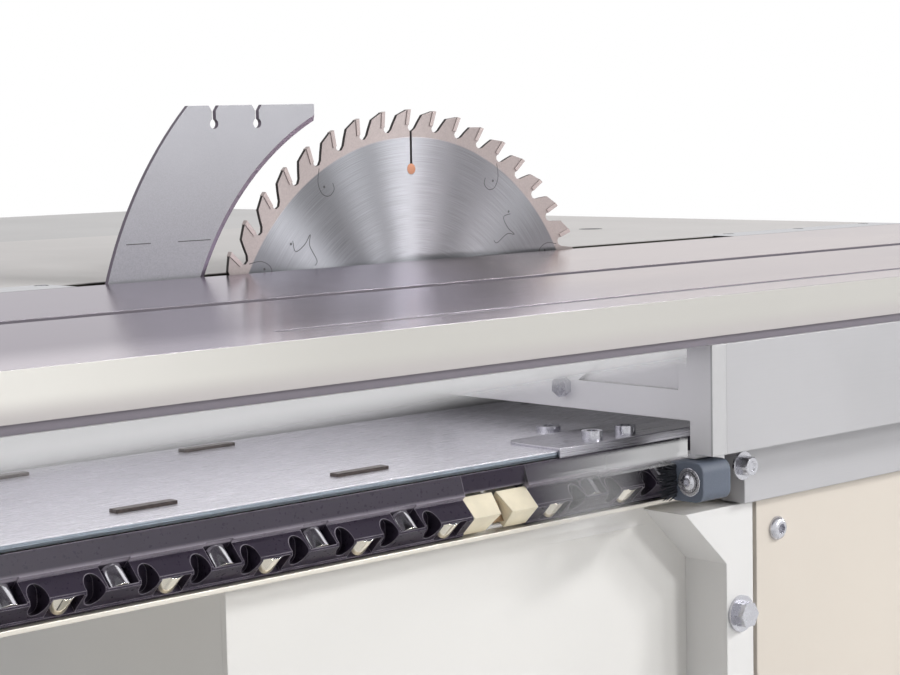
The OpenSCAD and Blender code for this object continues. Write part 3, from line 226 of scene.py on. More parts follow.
class Finish:
    """One procedural material while it is being built."""

    def __init__(self, name):
        self.material = bpy.data.materials.new(name)
        self.material.use_nodes = True
        self.tree = self.material.node_tree
        self.tree.nodes.clear()
        self.shader = self.add("ShaderNodeBsdfPrincipled")
        out = self.add("ShaderNodeOutputMaterial")
        self.tree.links.new(self.shader.outputs[0], out.inputs["Surface"])
        self.place = self.add("ShaderNodeTexCoord").outputs["Object"]

    def add(self, kind, inputs=None, **settings):
        """Adds a node, sets it up and feeds its inputs."""
        node = self.tree.nodes.new(kind)
        for key, value in settings.items():
            setattr(node, key, value)
        for key, value in (inputs or {}).items():
            self.feed(node.inputs[key], value)
        return node

    def feed(self, socket, value):
        """Links a socket or sets its own value."""
        if isinstance(value, bpy.types.NodeSocket):
            self.tree.links.new(value, socket)
        elif socket.type == "RGBA":
            socket.default_value = (*tuple(value)[:3], 1.0)
        else:
            socket.default_value = value

    def set(self, sockets):
        """Sets sockets of the surface shader."""
        for key, value in sockets.items():
            self.feed(self.shader.inputs[key], value)

    def math(self, operation, first, second=0.0):
        """Result of one sum."""
        return self.add("ShaderNodeMath", {0: first, 1: second}, operation=operation).outputs[0]

    def vector(self, operation, first, second, output="Vector"):
        """Result of one vector sum."""
        return self.add("ShaderNodeVectorMath", {0: first, 1: second}, operation=operation).outputs[output]

    def axis(self, name, source=None):
        """One coordinate of the part's own place."""
        return self.add("ShaderNodeSeparateXYZ", {0: source or self.place}).outputs[name]

    def noise(self, size, detail, stretch=(1, 1, 1)):
        """Cloudy pattern with features of about the given size in metres."""
        scale = tuple(1 / (size * longer) for longer in stretch)
        where = self.vector("MULTIPLY", self.place, scale)
        return self.add("ShaderNodeTexNoise", {"Vector": where, "Scale": 1.0, "Detail": detail}).outputs[0]

    def ramp(self, value, start, end, low=0.0, high=1.0):
        """Smooth change from low to high between start and end."""
        inputs = {"Value": value, "From Min": start, "From Max": end, "To Min": low, "To Max": high}
        return self.add("ShaderNodeMapRange", inputs, interpolation_type="SMOOTHSTEP").outputs[0]

    def along(self, axis, span, low=0.0, high=1.0, source=None):
        """Smooth change over a span of an axis, given in millimetres as for spot."""
        start, end = (spot(place, place, place)["XYZ".index(axis)] for place in span)
        return self.ramp(source or self.axis(axis), start, end, low, high)

    def between(self, share, off, on):
        """Value that goes from off to on with a share."""
        return self.ramp(share, 0.0, 1.0, off, on)

    def times(self, first, *others):
        """Product of values."""
        for other in others:
            first = self.math("MULTIPLY", first, other)
        return first

    def mix(self, share, first, second):
        """Colour between two colours."""
        inputs = {0: share, MIX_FIRST: first, MIX_SECOND: second}
        return self.add("ShaderNodeMix", inputs, data_type="RGBA").outputs[MIX_RESULT]

    def tones(self, share, base, dark, light):
        """Colour between a darker and a lighter version of a base colour."""
        return self.mix(share, shade(base, by=dark), shade(base, by=light))

    def facing(self, axis):
        """One part of the face's own normal."""
        return self.axis(axis, self.add("ShaderNodeNewGeometry").outputs["True Normal"])

    def rounded(self, radius):
        """Normal with its sharp edges eased."""
        return self.add("ShaderNodeBevel", {"Radius": radius}, samples=4).outputs[0]

    def relief(self, height, depth, normal):
        """Normal with a relief of the given depth in metres."""
        inputs = {"Strength": 1.0, "Distance": depth, "Height": height, "Normal": normal}
        return self.add("ShaderNodeBump", inputs).outputs[0]

    def worn_edge(self, normal):
        """Share that is high along sharp edges."""
        face = self.add("ShaderNodeNewGeometry").outputs["Normal"]
        return self.ramp(self.vector("DOT_PRODUCT", face, normal, "Value"), *SHARP_EDGE)


def shade(value, by):
    """Lighter or darker version of a colour."""
    return tuple(min(1.0, part * by) for part in value)


def worked(name, base, metallic, roughness, tone=0.05, cloud=0.15, grain=1.2 * MM, stretch=(1, 1, 1),
           depth=0.02 * MM, edge=0.8 * MM, wear=0.25, spread=0.06, sockets=None):
    """Everyday finish: clouded colour, grain in gloss and relief, eased and lightly worn edges."""
    coat = Finish(name)
    clouds = coat.noise(cloud, detail=4.0)
    grains = coat.noise(grain, detail=3.0, stretch=stretch)
    body = coat.tones(coat.ramp(clouds, *SOFT), base, dark=1 - tone, light=1 + tone)
    eased = coat.rounded(edge)
    chips = coat.ramp(coat.noise(size=6 * MM, detail=3.0), *CHIPS, low=0.2, high=1.0)
    chipped = coat.times(coat.worn_edge(eased), chips, wear)
    coat.set({
        "Base Color": coat.mix(chipped, body, shade(base, by=1.6)),
        "Metallic": metallic,
        "Roughness": coat.ramp(grains, *FINE, low=roughness - spread, high=roughness + spread),
        "Normal": coat.relief(grains, depth, eased),
    })
    coat.set(sockets or {})
    return coat.material


# Stretch of a drawn or brushed grain
ALONG_X = (60, 1, 1)
ALONG_Y = (1, 60, 1)
ALONG_Z = (1, 1, 60)

# Each row: metallic, roughness and what differs from the everyday finish
PLAIN_FINISHES = {
    "body_paint": (0.0, 0.42, {"depth": 0.015 * MM, "tone": 0.012}),
    "door_paint": (0.0, 0.42, {"depth": 0.015 * MM, "tone": 0.012}),
    "base_paint": (0.0, 0.48, {"depth": 0.03 * MM, "wear": 0.5}),
    "console_paint": (0.0, 0.38, {"depth": 0.01 * MM, "tone": 0.012}),
    "cover_paint": (0.0, 0.42, {"depth": 0.015 * MM, "tone": 0.012}),
    "cast_dark": (0.0, 0.50, {"grain": 2.5 * MM, "depth": 0.12 * MM, "wear": 0.4}),
    "frame_paint": (0.0, 0.40, {"wear": 0.4}),
    "motor_paint": (0.0, 0.42, {"wear": 0.3}),
    "extension_steel": (0.1, 0.6, {"grain": 0.5 * MM, "stretch": ALONG_Y, "tone": 0.03,
                                   "sockets": {"Specular IOR Level": 0.15}}),
    "skirt_aluminium": (0.3, 0.45, {"grain": 0.35 * MM, "stretch": ALONG_X, "depth": 0.004 * MM}),
    "beam_aluminium": (0.6, 0.34, {"grain": 0.35 * MM, "stretch": ALONG_X, "depth": 0.004 * MM}),
    "way_steel": (1.0, 0.22, {"grain": 0.3 * MM, "stretch": ALONG_X, "depth": 0.003 * MM}),
    "clamp_steel": (1.0, 0.30, {"grain": 0.5 * MM, "stretch": ALONG_X}),
    "screw_steel": (1.0, 0.24, {"grain": 1.5 * MM, "depth": 0.001 * MM, "edge": 0.08 * MM, "tone": 0.02,
                                "wear": 0.0}),
    "hinge_steel": (1.0, 0.32, {"grain": 0.5 * MM, "stretch": ALONG_Z, "depth": 0.004 * MM}),
    "rail_steel": (1.0, 0.12, {"grain": 0.3 * MM, "depth": 0.002 * MM, "spread": 0.03}),
    "machined_steel": (1.0, 0.26, {"grain": 0.3 * MM, "depth": 0.004 * MM}),
    "carbide": (0.6, 0.42, {"grain": 0.4 * MM, "edge": 0.15 * MM, "wear": 0.1}),
    "copper": (1.0, 0.45, {"grain": 0.8 * MM, "edge": 0.2 * MM, "tone": 0.15}),
    "engraved": (0.2, 0.55, {"grain": 0.5 * MM, "edge": 0.05 * MM, "wear": 0.0}),
    "wiper_plastic": (0.0, 0.45, {"grain": 0.9 * MM, "depth": 0.04 * MM, "tone": 0.08, "cloud": 0.012}),
    "buffer_rubber": (0.0, 0.62, {"grain": 0.7 * MM, "depth": 0.06 * MM, "edge": 1.4 * MM, "wear": 0.6}),
    "brown_felt": (0.0, 0.90, {"grain": 0.6 * MM, "depth": 0.15 * MM, "tone": 0.25, "cloud": 2 * MM,
                               "wear": 0.0}),
    "bristle": (0.0, 0.60, {"grain": 0.5 * MM, "edge": 0.1 * MM}),
    "belt_rubber": (0.0, 0.65, {"grain": 1.0 * MM, "depth": 0.06 * MM}),
    "knob_plastic": (0.0, 0.40, {"grain": 0.8 * MM, "depth": 0.02 * MM, "wear": 0.8, "edge": 1.2 * MM}),
    "control_plastic": (0.0, 0.45, {"grain": 0.8 * MM, "depth": 0.03 * MM, "edge": 1.5 * MM, "wear": 0.5}),
    "outlet_plastic": (0.0, 0.48, {"grain": 0.9 * MM, "depth": 0.03 * MM, "edge": 1.0 * MM, "wear": 0.6}),
    "start_green": (0.0, 0.22, {"grain": 0.8 * MM, "depth": 0.005 * MM, "edge": 0.8 * MM}),
    "stop_red": (0.0, 0.22, {"grain": 0.8 * MM, "depth": 0.005 * MM, "edge": 1.0 * MM}),
    "collar_yellow": (0.0, 0.35, {"grain": 0.8 * MM, "depth": 0.005 * MM, "edge": 0.5 * MM}),
}


# Places on the sliding table, in millimetres from the blade's middle line at table height
DECK_SKIN = (-0.3, -0.1)
# Painted shade at the foot of the side band
DECK_FOOT_SHADE = (-18.4, -9)
DECK_LIP = (-18.9, -18.5)
# Painted highlight along the near edge of the top, strongest towards the rear end
DECK_NEAR_EDGE = (-325, -258)
DECK_REAR_END = (-260, -170)
# Painted shade over the front part of the side band
DECK_SIDE_SHADE = (-520, -290)
# Painted reflection that lightens and then warms the front of the deck's top
DECK_REFLECTION_LIGHT = (-190, -70)
DECK_REFLECTION_WARM = (-60, 60)
# Run along X of the painted reflection for each unit of Y
DECK_REFLECTION_LEAN = 0.55
# Depth behind the near face at which the groove's shade starts and is full
DECK_GROOVE = (0.5 * MM, 2 * MM)


def deck_finish(colours):
    """Anodised deck: top with drawn lines, a painted reflection that lightens and warms its front and a
    painted highlight along its near edge; painted shade on its edges and in its grooves; pale side band with
    painted shade towards the front and at its foot, over a dull lip.
    """
    coat = Finish("deck_aluminium")
    # """Builds the whole scene."""
    base = colours.deck_top
    flank = colours.deck_side
    drawn = coat.noise(size=0.5 * MM, detail=3.0, stretch=ALONG_X)
    clouds = coat.noise(size=0.22, detail=4.0, stretch=(3, 1, 1))
    on_top = coat.along("Z", DECK_SKIN)
    sideways = coat.math("SUBTRACT", coat.axis("Y"), AXLE.y)
    slant = coat.math("SUBTRACT", coat.axis("X"), coat.times(sideways, DECK_REFLECTION_LEAN))
    # Painted reflection: the top grows lighter and warmer towards the front, along a slanted line
    top = coat.tones(coat.along("X", DECK_REFLECTION_LIGHT, source=slant), base, dark=0.98, light=1.32)
    top = coat.mix(coat.along("X", DECK_REFLECTION_WARM, source=slant), top, colours.deck_warm)
    top = coat.mix(coat.ramp(clouds, *SOFT, low=0.0, high=0.3), top, shade(base, by=0.92))
    top = coat.mix(coat.ramp(drawn, *SOFT, low=0.0, high=0.25), top, shade(base, by=1.2))
    # Painted highlight: the top is lightened along its near edge, most towards the rear end
    near = coat.along("Y", DECK_NEAR_EDGE, low=0.5, high=0.0)
    rear = coat.along("X", DECK_REAR_END, low=1.0, high=0.25)
    top = coat.mix(coat.times(near, rear), top, colours.deck_worn)
    # Painted shade: the side band is darkened over its front part
    side = coat.mix(coat.along("X", DECK_SIDE_SHADE), flank, shade(flank, by=0.64))
    side = coat.mix(coat.ramp(clouds, *SOFT, low=0.0, high=0.2), side, shade(flank, by=0.9))
    # Painted shade: the side band darkens towards its foot
    side = coat.mix(coat.along("Z", DECK_FOOT_SHADE, low=1.0, high=0.0), side, colours.deck_foot)
    side = coat.mix(coat.along("Z", DECK_LIP, low=1.0, high=0.0), side, colours.deck_lip)
    shade_start, shade_end = (DECK_LOW.y + depth for depth in DECK_GROOVE)
    side = coat.mix(coat.ramp(coat.axis("Y"), shade_start, shade_end), side, colours.deck_groove)
    eased = coat.rounded(radius=0.35 * MM)
    # Painted shade along the eased edges, in the groove colour
    edges = coat.times(coat.worn_edge(eased), 0.85)
    gloss = coat.ramp(drawn, *FINE, low=-0.03, high=0.03)
    coat.set({
        "Base Color": coat.mix(edges, coat.mix(on_top, side, top), colours.deck_groove),
        "Metallic": coat.between(on_top, off=0.2, on=1.0),
        "Specular Tint": coat.mix(on_top, WHITE, top),
        "Roughness": coat.math("ADD", coat.between(on_top, off=0.38, on=0.19), gloss),
        "Normal": coat.relief(drawn, depth=0.003 * MM, normal=eased),
    })
    return coat.material


# Places on the see-through skirt, in millimetres from the blade's middle line at table height
SKIRT_REAR = -600
SKIRT_VEIL = (-42, -30)
SKIRT_FADE = (-300, -180)
SKIRT_FOOT = (-74, -70)
SKIRT_FOOT_START = (-205, -165)
SKIRT_FOOT_END = (-152, -129)
SHEEN_FOOT = (-73, -70)
SHEEN_HEAD = (-65, -62.5)
SHEEN_LENGTH = (-215, -155)
SHEEN_WALL = (-322, -320)
# Rise of the veil's lower limit for each unit of length
SKIRT_CLIMB = 0.02


def skirt_finish(colours):
    """See-through skirt: milky under the deck and along its front foot, clear over the roller guide."""
    coat = Finish("skirt_clear")
    climb = coat.times(coat.math("SUBTRACT", coat.axis("X"), spot(SKIRT_REAR, 0, 0).x), SKIRT_CLIMB)
    height = coat.math("SUBTRACT", coat.axis("Z"), climb)
    fade = coat.along("X", SKIRT_FADE, low=1.0, high=0.85)
    veil = coat.times(coat.along("Z", SKIRT_VEIL, source=height), fade)
    foot = coat.times(
        coat.along("Z", SKIRT_FOOT, low=1.0, high=0.0),
        coat.along("X", SKIRT_FOOT_START, low=0.0, high=0.25),
        coat.along("X", SKIRT_FOOT_END, low=1.0, high=0.0),
    )
    sheen = coat.times(
        coat.along("Z", SHEEN_FOOT),
        coat.along("Z", SHEEN_HEAD, low=1.0, high=0.0),
        coat.along("X", SHEEN_LENGTH, low=0.0, high=0.8),
        coat.along("Y", SHEEN_WALL, low=1.0, high=0.0),
    )
    milk = coat.math("MAXIMUM", coat.math("MAXIMUM", veil, foot), sheen)
    clouds = coat.noise(size=0.08, detail=3.0)
    coat.set({
        "Base Color": coat.tones(clouds, colours.skirt_clear, dark=0.97, light=1.02),
        "Roughness": 0.45,
        "Specular IOR Level": 0.12,
        "Alpha": coat.times(milk, 0.7),
    })
    return coat.material


# Near faces of the bridges, which get painted shade, in millimetres from the blade's middle line
BRIDGE_END_SHADE = (-324.8, -324.2)


def bridge_finish(colours):
    """Cast bridges with painted shade on their sawn near ends."""
    coat = Finish("bridge_aluminium")
    base = colours.bridge_aluminium
    cast = coat.noise(size=1.5 * MM, detail=3.0)
    body = coat.tones(coat.noise(size=0.1, detail=3.0), base, dark=0.96, light=1.04)
    coat.set({
        # Painted shade: the near end faces are darkened
        "Base Color": coat.mix(coat.along("Y", BRIDGE_END_SHADE, low=1.0, high=0.0), body, shade(base, by=0.66)),
        "Metallic": 0.5,
        "Roughness": coat.ramp(cast, *FINE, low=0.38, high=0.48),
        "Normal": coat.relief(cast, depth=0.03 * MM, normal=coat.rounded(radius=0.6 * MM)),
    })
    return coat.material


# Heights of the cover plate's edge and of the painted shadow on the lower part of that edge, in millimetres
# from table height
COVER_EDGE = (-68.7, -68.3)
COVER_EDGE_SHADOW = (-70.1, -69.7)


def cover_finish(colours):
    """Brushed plate over the beam, with a blue-grey sawn edge whose lower part has painted shadow."""
    coat = Finish("cover_steel")
    base = colours.cover_steel
    brushed = coat.noise(size=0.28 * MM, detail=4.0, stretch=ALONG_X)
    clouds = coat.noise(size=0.05, detail=4.0, stretch=(4, 1, 1))
    body = coat.tones(coat.ramp(clouds, *SOFT), base, dark=0.94, light=1.06)
    body = coat.mix(coat.ramp(brushed, *BRIGHT, low=0.0, high=0.4), body, shade(base, by=1.2))
    # Painted shadow: the lower part of the edge is darkened
    foot = coat.along("Z", COVER_EDGE_SHADOW, low=1.0, high=0.0)
    edge = coat.mix(foot, colours.cover_edge, shade(colours.cover_edge, by=0.3))
    coat.set({
        "Base Color": coat.mix(coat.along("Z", COVER_EDGE, low=1.0, high=0.0), body, edge),
        "Metallic": 0.6,
        "Roughness": coat.ramp(brushed, *FINE, low=0.20, high=0.32),
        "Normal": coat.relief(brushed, depth=0.006 * MM, normal=coat.rounded(radius=0.4 * MM)),
    })
    return coat.material


# Heights of the painted highlight along the bend of the cages, in millimetres from table height: below its
# tip and above it
CAGE_NOSE_FOOT = (-82.3, -81.4)
CAGE_NOSE_BAND = (-81.4, -78.6)


def cage_finish(colours):
    """Moulded cage with painted highlights along its edges and its bend."""
    coat = Finish("cage_plastic")
    base = colours.cage_plastic
    eased = coat.rounded(radius=0.55 * MM)
    patches = coat.ramp(coat.noise(size=9 * MM, detail=3.0), *SOFT, low=0.35, high=0.9)
    # Painted highlight along the eased edges, in patches
    highlighted = coat.times(coat.worn_edge(eased), patches)
    body = coat.tones(coat.noise(size=0.04, detail=3.0), base, dark=0.9, light=1.1)
    # Painted highlight in a band along the bend
    bend = coat.times(coat.along("Z", CAGE_NOSE_FOOT), coat.along("Z", CAGE_NOSE_BAND, low=0.8, high=0.0))
    coat.set({
        "Base Color": coat.mix(highlighted, coat.mix(bend, body, colours.cage_edge), colours.cage_edge),
        "Roughness": coat.ramp(coat.noise(size=1.6 * MM, detail=3.0), *FINE, low=0.26, high=0.36),
        "Specular IOR Level": 0.15,
        "Normal": eased,
    })
    return coat.material


# Upward part of a roller's normal over which the painted warm reflection gives way to the steel colour
ROLLER_REFLECTION_TURN = (-0.15, 0.3)


def roller_finish(colours):
    """Polished rollers, dark on top, with a painted warm reflection on their undersides."""
    coat = Finish("roller_steel")
    # Painted reflection: faces that look down get the warm colour
    facing_up = coat.ramp(coat.facing("Z"), *ROLLER_REFLECTION_TURN)
    coat.set({
        "Base Color": coat.mix(facing_up, colours.roller_warm, colours.roller_steel),
        "Metallic": 1.0,
        "Roughness": coat.ramp(coat.noise(size=0.4 * MM, detail=3.0), *FINE, low=0.06, high=0.12),
        "Normal": coat.rounded(radius=0.5 * MM),
    })
    return coat.material


def felt_finish(colours):
    """Pressed felt with short fibres."""
    coat = Finish("felt")
    fibres = coat.noise(size=0.5 * MM, detail=5.0, stretch=(3, 1, 1))
    coat.set({
        "Base Color": coat.tones(coat.ramp(fibres, *SOFT), colours.felt, dark=0.6, light=1.6),
        "Roughness": 0.95,
        "Sheen Weight": 0.3,
        "Normal": coat.relief(fibres, depth=0.3 * MM, normal=coat.rounded(radius=0.4 * MM)),
    })
    return coat.material


# Upward part of the normal between the walls of the slot and the flat strips
SLOT_WALL = (0.4, 0.6)


def insert_finish(colours):
    """Ground strips beside the blade, with dark walls towards the slot."""
    coat = Finish("insert_steel")
    ground = coat.noise(size=0.3 * MM, detail=3.0, stretch=ALONG_X)
    wall = coat.ramp(coat.math("ABSOLUTE", coat.facing("Z")), *SLOT_WALL, low=1.0, high=0.0)
    body = coat.tones(coat.ramp(ground, *SOFT), colours.insert_steel, dark=0.93, light=1.07)
    coat.set({
        "Base Color": coat.mix(wall, body, colours.slot_shade),
        "Metallic": coat.between(wall, off=1.0, on=0.0),
        "Roughness": coat.ramp(ground, *FINE, low=0.24, high=0.36),
        "Normal": coat.relief(ground, depth=0.003 * MM, normal=coat.rounded(radius=0.3 * MM)),
    })
    return coat.material


# Places on the fixed table, in millimetres from the blade's middle line at table height
CAST_UNDERSIDE = (-16, -15)
CAST_SLOT_TOP = (-0.6, -0.3)
CAST_SLOT_SIDE = (40, 41)
STAINS = (0.35, 0.65)


def cast_table_finish(colours):
    """Planed cast iron: tool marks, faint stains, a dark underside and dark walls of the slot."""
    coat = Finish("table_cast")
    base = colours.table_cast
    planed = coat.noise(size=0.45 * MM, detail=3.0, stretch=ALONG_Y)
    body = coat.tones(coat.ramp(coat.noise(size=0.12, detail=6.0), *STAINS), base, dark=0.97, light=1.02)
    body = coat.mix(coat.along("Z", CAST_UNDERSIDE, low=1.0, high=0.0), body, shade(base, by=0.35))
    slot = coat.times(
        coat.along("Z", CAST_SLOT_TOP, low=1.0, high=0.0), coat.along("Y", CAST_SLOT_SIDE, low=1.0, high=0.0)
    )
    coat.set({
        "Base Color": coat.mix(slot, body, colours.slot_shade),
        "Metallic": 0.05,
        "Specular IOR Level": 0.06,
        "Roughness": coat.ramp(planed, *FINE, low=0.56, high=0.68),
        "Normal": coat.relief(planed, depth=0.006 * MM, normal=coat.rounded(radius=1.2 * MM)),
    })
    return coat.material


# Part of the normal across the plate up to which a face counts as cut
CUT_BLUR = 0.01
BLADE_CUT = 0.9
KNIFE_CUT = 0.995
# Inner edge of the toned band, measured from the blade's middle
RIM_START = 140.4 * MM
RIM_END = 141.6 * MM
# Brush strokes across the blade for each metre and round it for each radian
STROKES_ACROSS = 5200.0
STROKES_ROUND = 4.0


def cut_face(coat, limit):
    """Share that is high on faces that do not look along Y."""
    return coat.ramp(coat.math("ABSOLUTE", coat.facing("Y")), limit - CUT_BLUR, limit, low=1.0, high=0.0)


def blade_finish(colours):
    """Blade plate: brushed round its middle, with a toned band at the teeth and dark cut faces."""
    coat = Finish("blade_steel")
    arm = coat.vector("SUBTRACT", coat.place, tuple(AXLE))
    x = coat.axis("X", arm)
    z = coat.axis("Z", arm)
    reach = coat.math("SQRT", coat.math("ADD", coat.times(x, x), coat.times(z, z)))
    bearing = coat.math("ARCTAN2", x, z)
    turns = {0: coat.times(reach, STROKES_ACROSS), 1: coat.times(bearing, STROKES_ROUND)}
    round_lines = coat.add("ShaderNodeCombineXYZ", turns).outputs[0]
    strokes = coat.add("ShaderNodeTexNoise", {"Vector": round_lines, "Scale": 1.0, "Detail": 3.0}).outputs[0]
    rim = coat.ramp(reach, RIM_START, RIM_END)
    steel = coat.tones(coat.ramp(strokes, *SOFT), colours.blade_body, dark=0.8, light=1.12)
    toned = coat.tones(coat.noise(size=0.9 * MM, detail=4.0), colours.blade_rim, dark=0.78, light=1.12)
    gloss = coat.ramp(strokes, *FINE, low=-0.04, high=0.04)
    coat.set({
        "Base Color": coat.mix(cut_face(coat, BLADE_CUT), coat.mix(rim, steel, toned), colours.blade_cut),
        "Metallic": coat.between(rim, off=1.0, on=0.3),
        "Roughness": coat.math("ADD", coat.between(rim, off=0.32, on=0.55), gloss),
        "Anisotropic": 1.0,
        "Anisotropic Rotation": 0.25,
        "Tangent": coat.add("ShaderNodeTangent", direction_type="RADIAL", axis="Y").outputs[0],
        "Normal": coat.relief(strokes, depth=0.001 * MM, normal=coat.rounded(radius=0.15 * MM)),
    })
    return coat.material


# Heights between which painted light makes the knife grow brighter, in millimetres from table height
KNIFE_PAINTED_LIGHT = (0, 90)


def knife_finish(colours):
    """Satin ground knife with a fine speckle, a dark bevel and painted light that brightens it towards the
    top.
    """
    coat = Finish("knife_steel")
    base = colours.knife_steel
    speckle = coat.noise(size=0.5 * MM, detail=4.0)
    clouds = coat.noise(size=0.06, detail=3.0)
    # Painted light: the knife grows brighter towards its top
    body = coat.tones(coat.along("Z", KNIFE_PAINTED_LIGHT), base, dark=0.84, light=1.22)
    body = coat.mix(coat.ramp(clouds, *SOFT, low=0.0, high=0.2), body, shade(base, by=0.9))
    body = coat.mix(coat.ramp(speckle, *SOFT, low=0.0, high=0.45), body, shade(base, by=1.35))
    coat.set({
        "Base Color": coat.mix(cut_face(coat, KNIFE_CUT), body, colours.knife_bevel),
        "Metallic": 0.9,
        "Roughness": coat.ramp(speckle, *FINE, low=0.34, high=0.46),
        "Normal": coat.relief(speckle, depth=0.006 * MM, normal=coat.rounded(radius=0.3 * MM)),
    })
    return coat.material


SPECIAL_FINISHES = {
    "deck_aluminium": deck_finish,
    "skirt_clear": skirt_finish,
    "bridge_aluminium": bridge_finish,
    "cover_steel": cover_finish,
    "cage_plastic": cage_finish,
    "roller_steel": roller_finish,
    "felt": felt_finish,
    "insert_steel": insert_finish,
    "table_cast": cast_table_finish,
    "blade_steel": blade_finish,
    "knife_steel": knife_finish,
}
MADE = {}


def finish(name):
    """Material of a slot or of a fitting, made once."""
    if name not in MADE:
        colours = bpy.context.scene.saw_colours
        if name in SPECIAL_FINISHES:
            MADE[name] = SPECIAL_FINISHES[name](colours)
        else:
            metallic, roughness, more = PLAIN_FINISHES[name]
            MADE[name] = worked(name, tuple(getattr(colours, name)), metallic, roughness, **more)
    return MADE[name]


# Building fittings

SHARP_ANGLE = math.radians(32)
HEXAGON = 6


def skin(bm, loops, closed=False):
    """Joins loops of points into a tube with flat ends, or into a ring that closes on itself."""
    count = len(loops[0])
    following = [*loops[1:], loops[0]] if closed else loops[1:]
    for below, above in zip(loops, following):
        for i in range(count):
            j = (i + 1) % count
            bm.faces.new((below[i], below[j], above[j], above[i]))
    if not closed:
        bm.faces.new(list(reversed(loops[0])))
        bm.faces.new(loops[-1])


def turned(bm, rings, centre, axis, steps=32, closed=False):
    """Adds a turned solid from rings of (radius, height, sides), sides 0 for round."""
    turn = Vector((0, 0, 1)).rotation_difference(Vector(axis)).to_matrix()
    loops = []
    for radius, height, sides in rings:
        loop = []
        for i in range(steps):
            angle = FULL_TURN * i / steps
            reach = radius
            if sides:
                wedge = FULL_TURN / sides
                reach = radius * math.cos(wedge / 2) / math.cos(angle % wedge - wedge / 2)
            point = Vector((reach * math.cos(angle), reach * math.sin(angle), height))
            loop.append(bm.verts.new(Vector(centre) + turn @ point))
        loops.append(loop)
    skin(bm, loops, closed)


def ribbon(bm, points, width, normal, thick):
    """Adds a thin raised line along points on a flat face."""
    normal = Vector(normal)
    loops = []
    for i, point in enumerate(points):
        ahead = points[min(i + 1, len(points) - 1)] - points[max(i - 1, 0)]
        across = ahead.cross(normal).normalized() * width / 2
        corners = ((-1, 0), (-1, thick), (1, thick), (1, 0))
        loops.append([bm.verts.new(point + across * side + normal * rise) for side, rise in corners])
    skin(bm, loops)


def smoothed(points, steps=5):
    """Round curve through points."""
    out = []
    last = len(points) - 1
    for i in range(last):
        before, start, end, after = (points[min(max(k, 0), last)] for k in range(i - 1, i + 3))
        for k in range(steps):
            t = k / steps
            bend = 2 * before - 5 * start + 4 * end - after
            twist = 3 * start - before - 3 * end + after
            out.append((2 * start + (end - before) * t + bend * t ** 2 + twist * t ** 3) / 2)
    out.append(points[last])
    return out


def piece(name, bm, look, body, bevel=0.0):
    """Turns a mesh into a named piece that rides on a body."""
    bmesh.ops.recalc_face_normals(bm, faces=bm.faces[:])
    mesh = bpy.data.meshes.new(name)
    bm.to_mesh(mesh)
    bm.free()
    mesh.materials.append(finish(look))
    obj = bpy.data.objects.new(name, mesh)
    bpy.context.scene.collection.objects.link(obj)
    for face in mesh.polygons:
        face.use_smooth = True
    mesh.set_sharp_from_angle(angle=SHARP_ANGLE)
    if bevel:
        ease = obj.modifiers.new("ease", "BEVEL")
        ease.width = bevel
        ease.segments = 2
        ease.limit_method = "ANGLE"
        ease.angle_limit = SHARP_ANGLE
    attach(obj, body)
    return obj


def turned_piece(name, look, body, rings, places, steps=24, closed=False):
    """Named piece of like turned solids, each with its place and the way it points."""
    bm = bmesh.new()
    for centre, axis in places:
        turned(bm, rings, centre, axis, steps, closed)
    return piece(name, bm, look, body)


def button_screw(radius, height):
    """Rings of a low domed screw with a hexagon socket."""
    socket = radius * 0.45
    dome = [(1, 0), (1, 0.25), (0.9, 0.62), (0.68, 0.92), (0.55, 1)]
    recess = [(socket, height), (socket, height * 0.35), (socket * 0.3, height * 0.3)]
    return ([(radius * wide, height * high, 0) for wide, high in dome]
            + [(wide, high, HEXAGON) for wide, high in recess])


def hex_bolt(radius, height):
    """Rings of a washer with a hexagon head on it."""
    washer = radius * 1.45
    rim = height * 0.22
    return [(washer, 0, 0), (washer, rim * 0.8, 0), (washer * 0.96, rim, 0), (radius, rim, HEXAGON),
            (radius, height * 0.92, HEXAGON), (radius * 0.86, height, 0), (radius * 0.5, height, 0),
            (radius * 0.42, height * 0.93, 0)]


def flat_ring(inner, outer, thick):
    """Rings of a flat ring with an eased outer edge."""
    ease = thick * 0.3
    return [(inner, 0, 0), (outer, 0, 0), (outer, thick - ease, 0), (outer - ease, thick, 0),
            (inner, thick, 0)]


def plate_faces(node):
    """Side and place of the two flat faces of a plate that stands across Y."""
    low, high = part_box(node)
    return (-1, low.y), (1, high.y)


# Operators, one for each piece or group of like pieces


class DressSolids(bpy.types.Operator):
    """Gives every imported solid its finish"""

    bl_idname = "table_saw.dress_solids"
    bl_label = "Finish the solids"

    def execute(self, context):
        for name, obj in NODES.items():
            look = SLOTS[name]
            if name == "scoring_blade":
                look = "machined_steel"
            if not obj.material_slots:
                obj.data.materials.append(finish(look))
            for holder in obj.material_slots:
                holder.material = finish(look)
        return {"FINISHED"}


# Damping cuts of the blade: reach in millimetres and bearing in degrees from the middle of the cut
HOOK_CUT = ((143, 0), (136.5, -2.1), (129.5, -2.5), (125.6, -0.9), (126.6, 1.4), (130.6, 1.9))
SAIL_CUT = ((124, -3), (118.5, -4.6), (116, -1), (117, 2.4), (112.8, 0), (103, -1.4), (102.2, -3.2))
# Cuts in one quarter: bearing of the middle in degrees, cut and hand
QUARTER_CUTS = ((30, HOOK_CUT, -1), (60, HOOK_CUT, 1), (45, SAIL_CUT, 1))
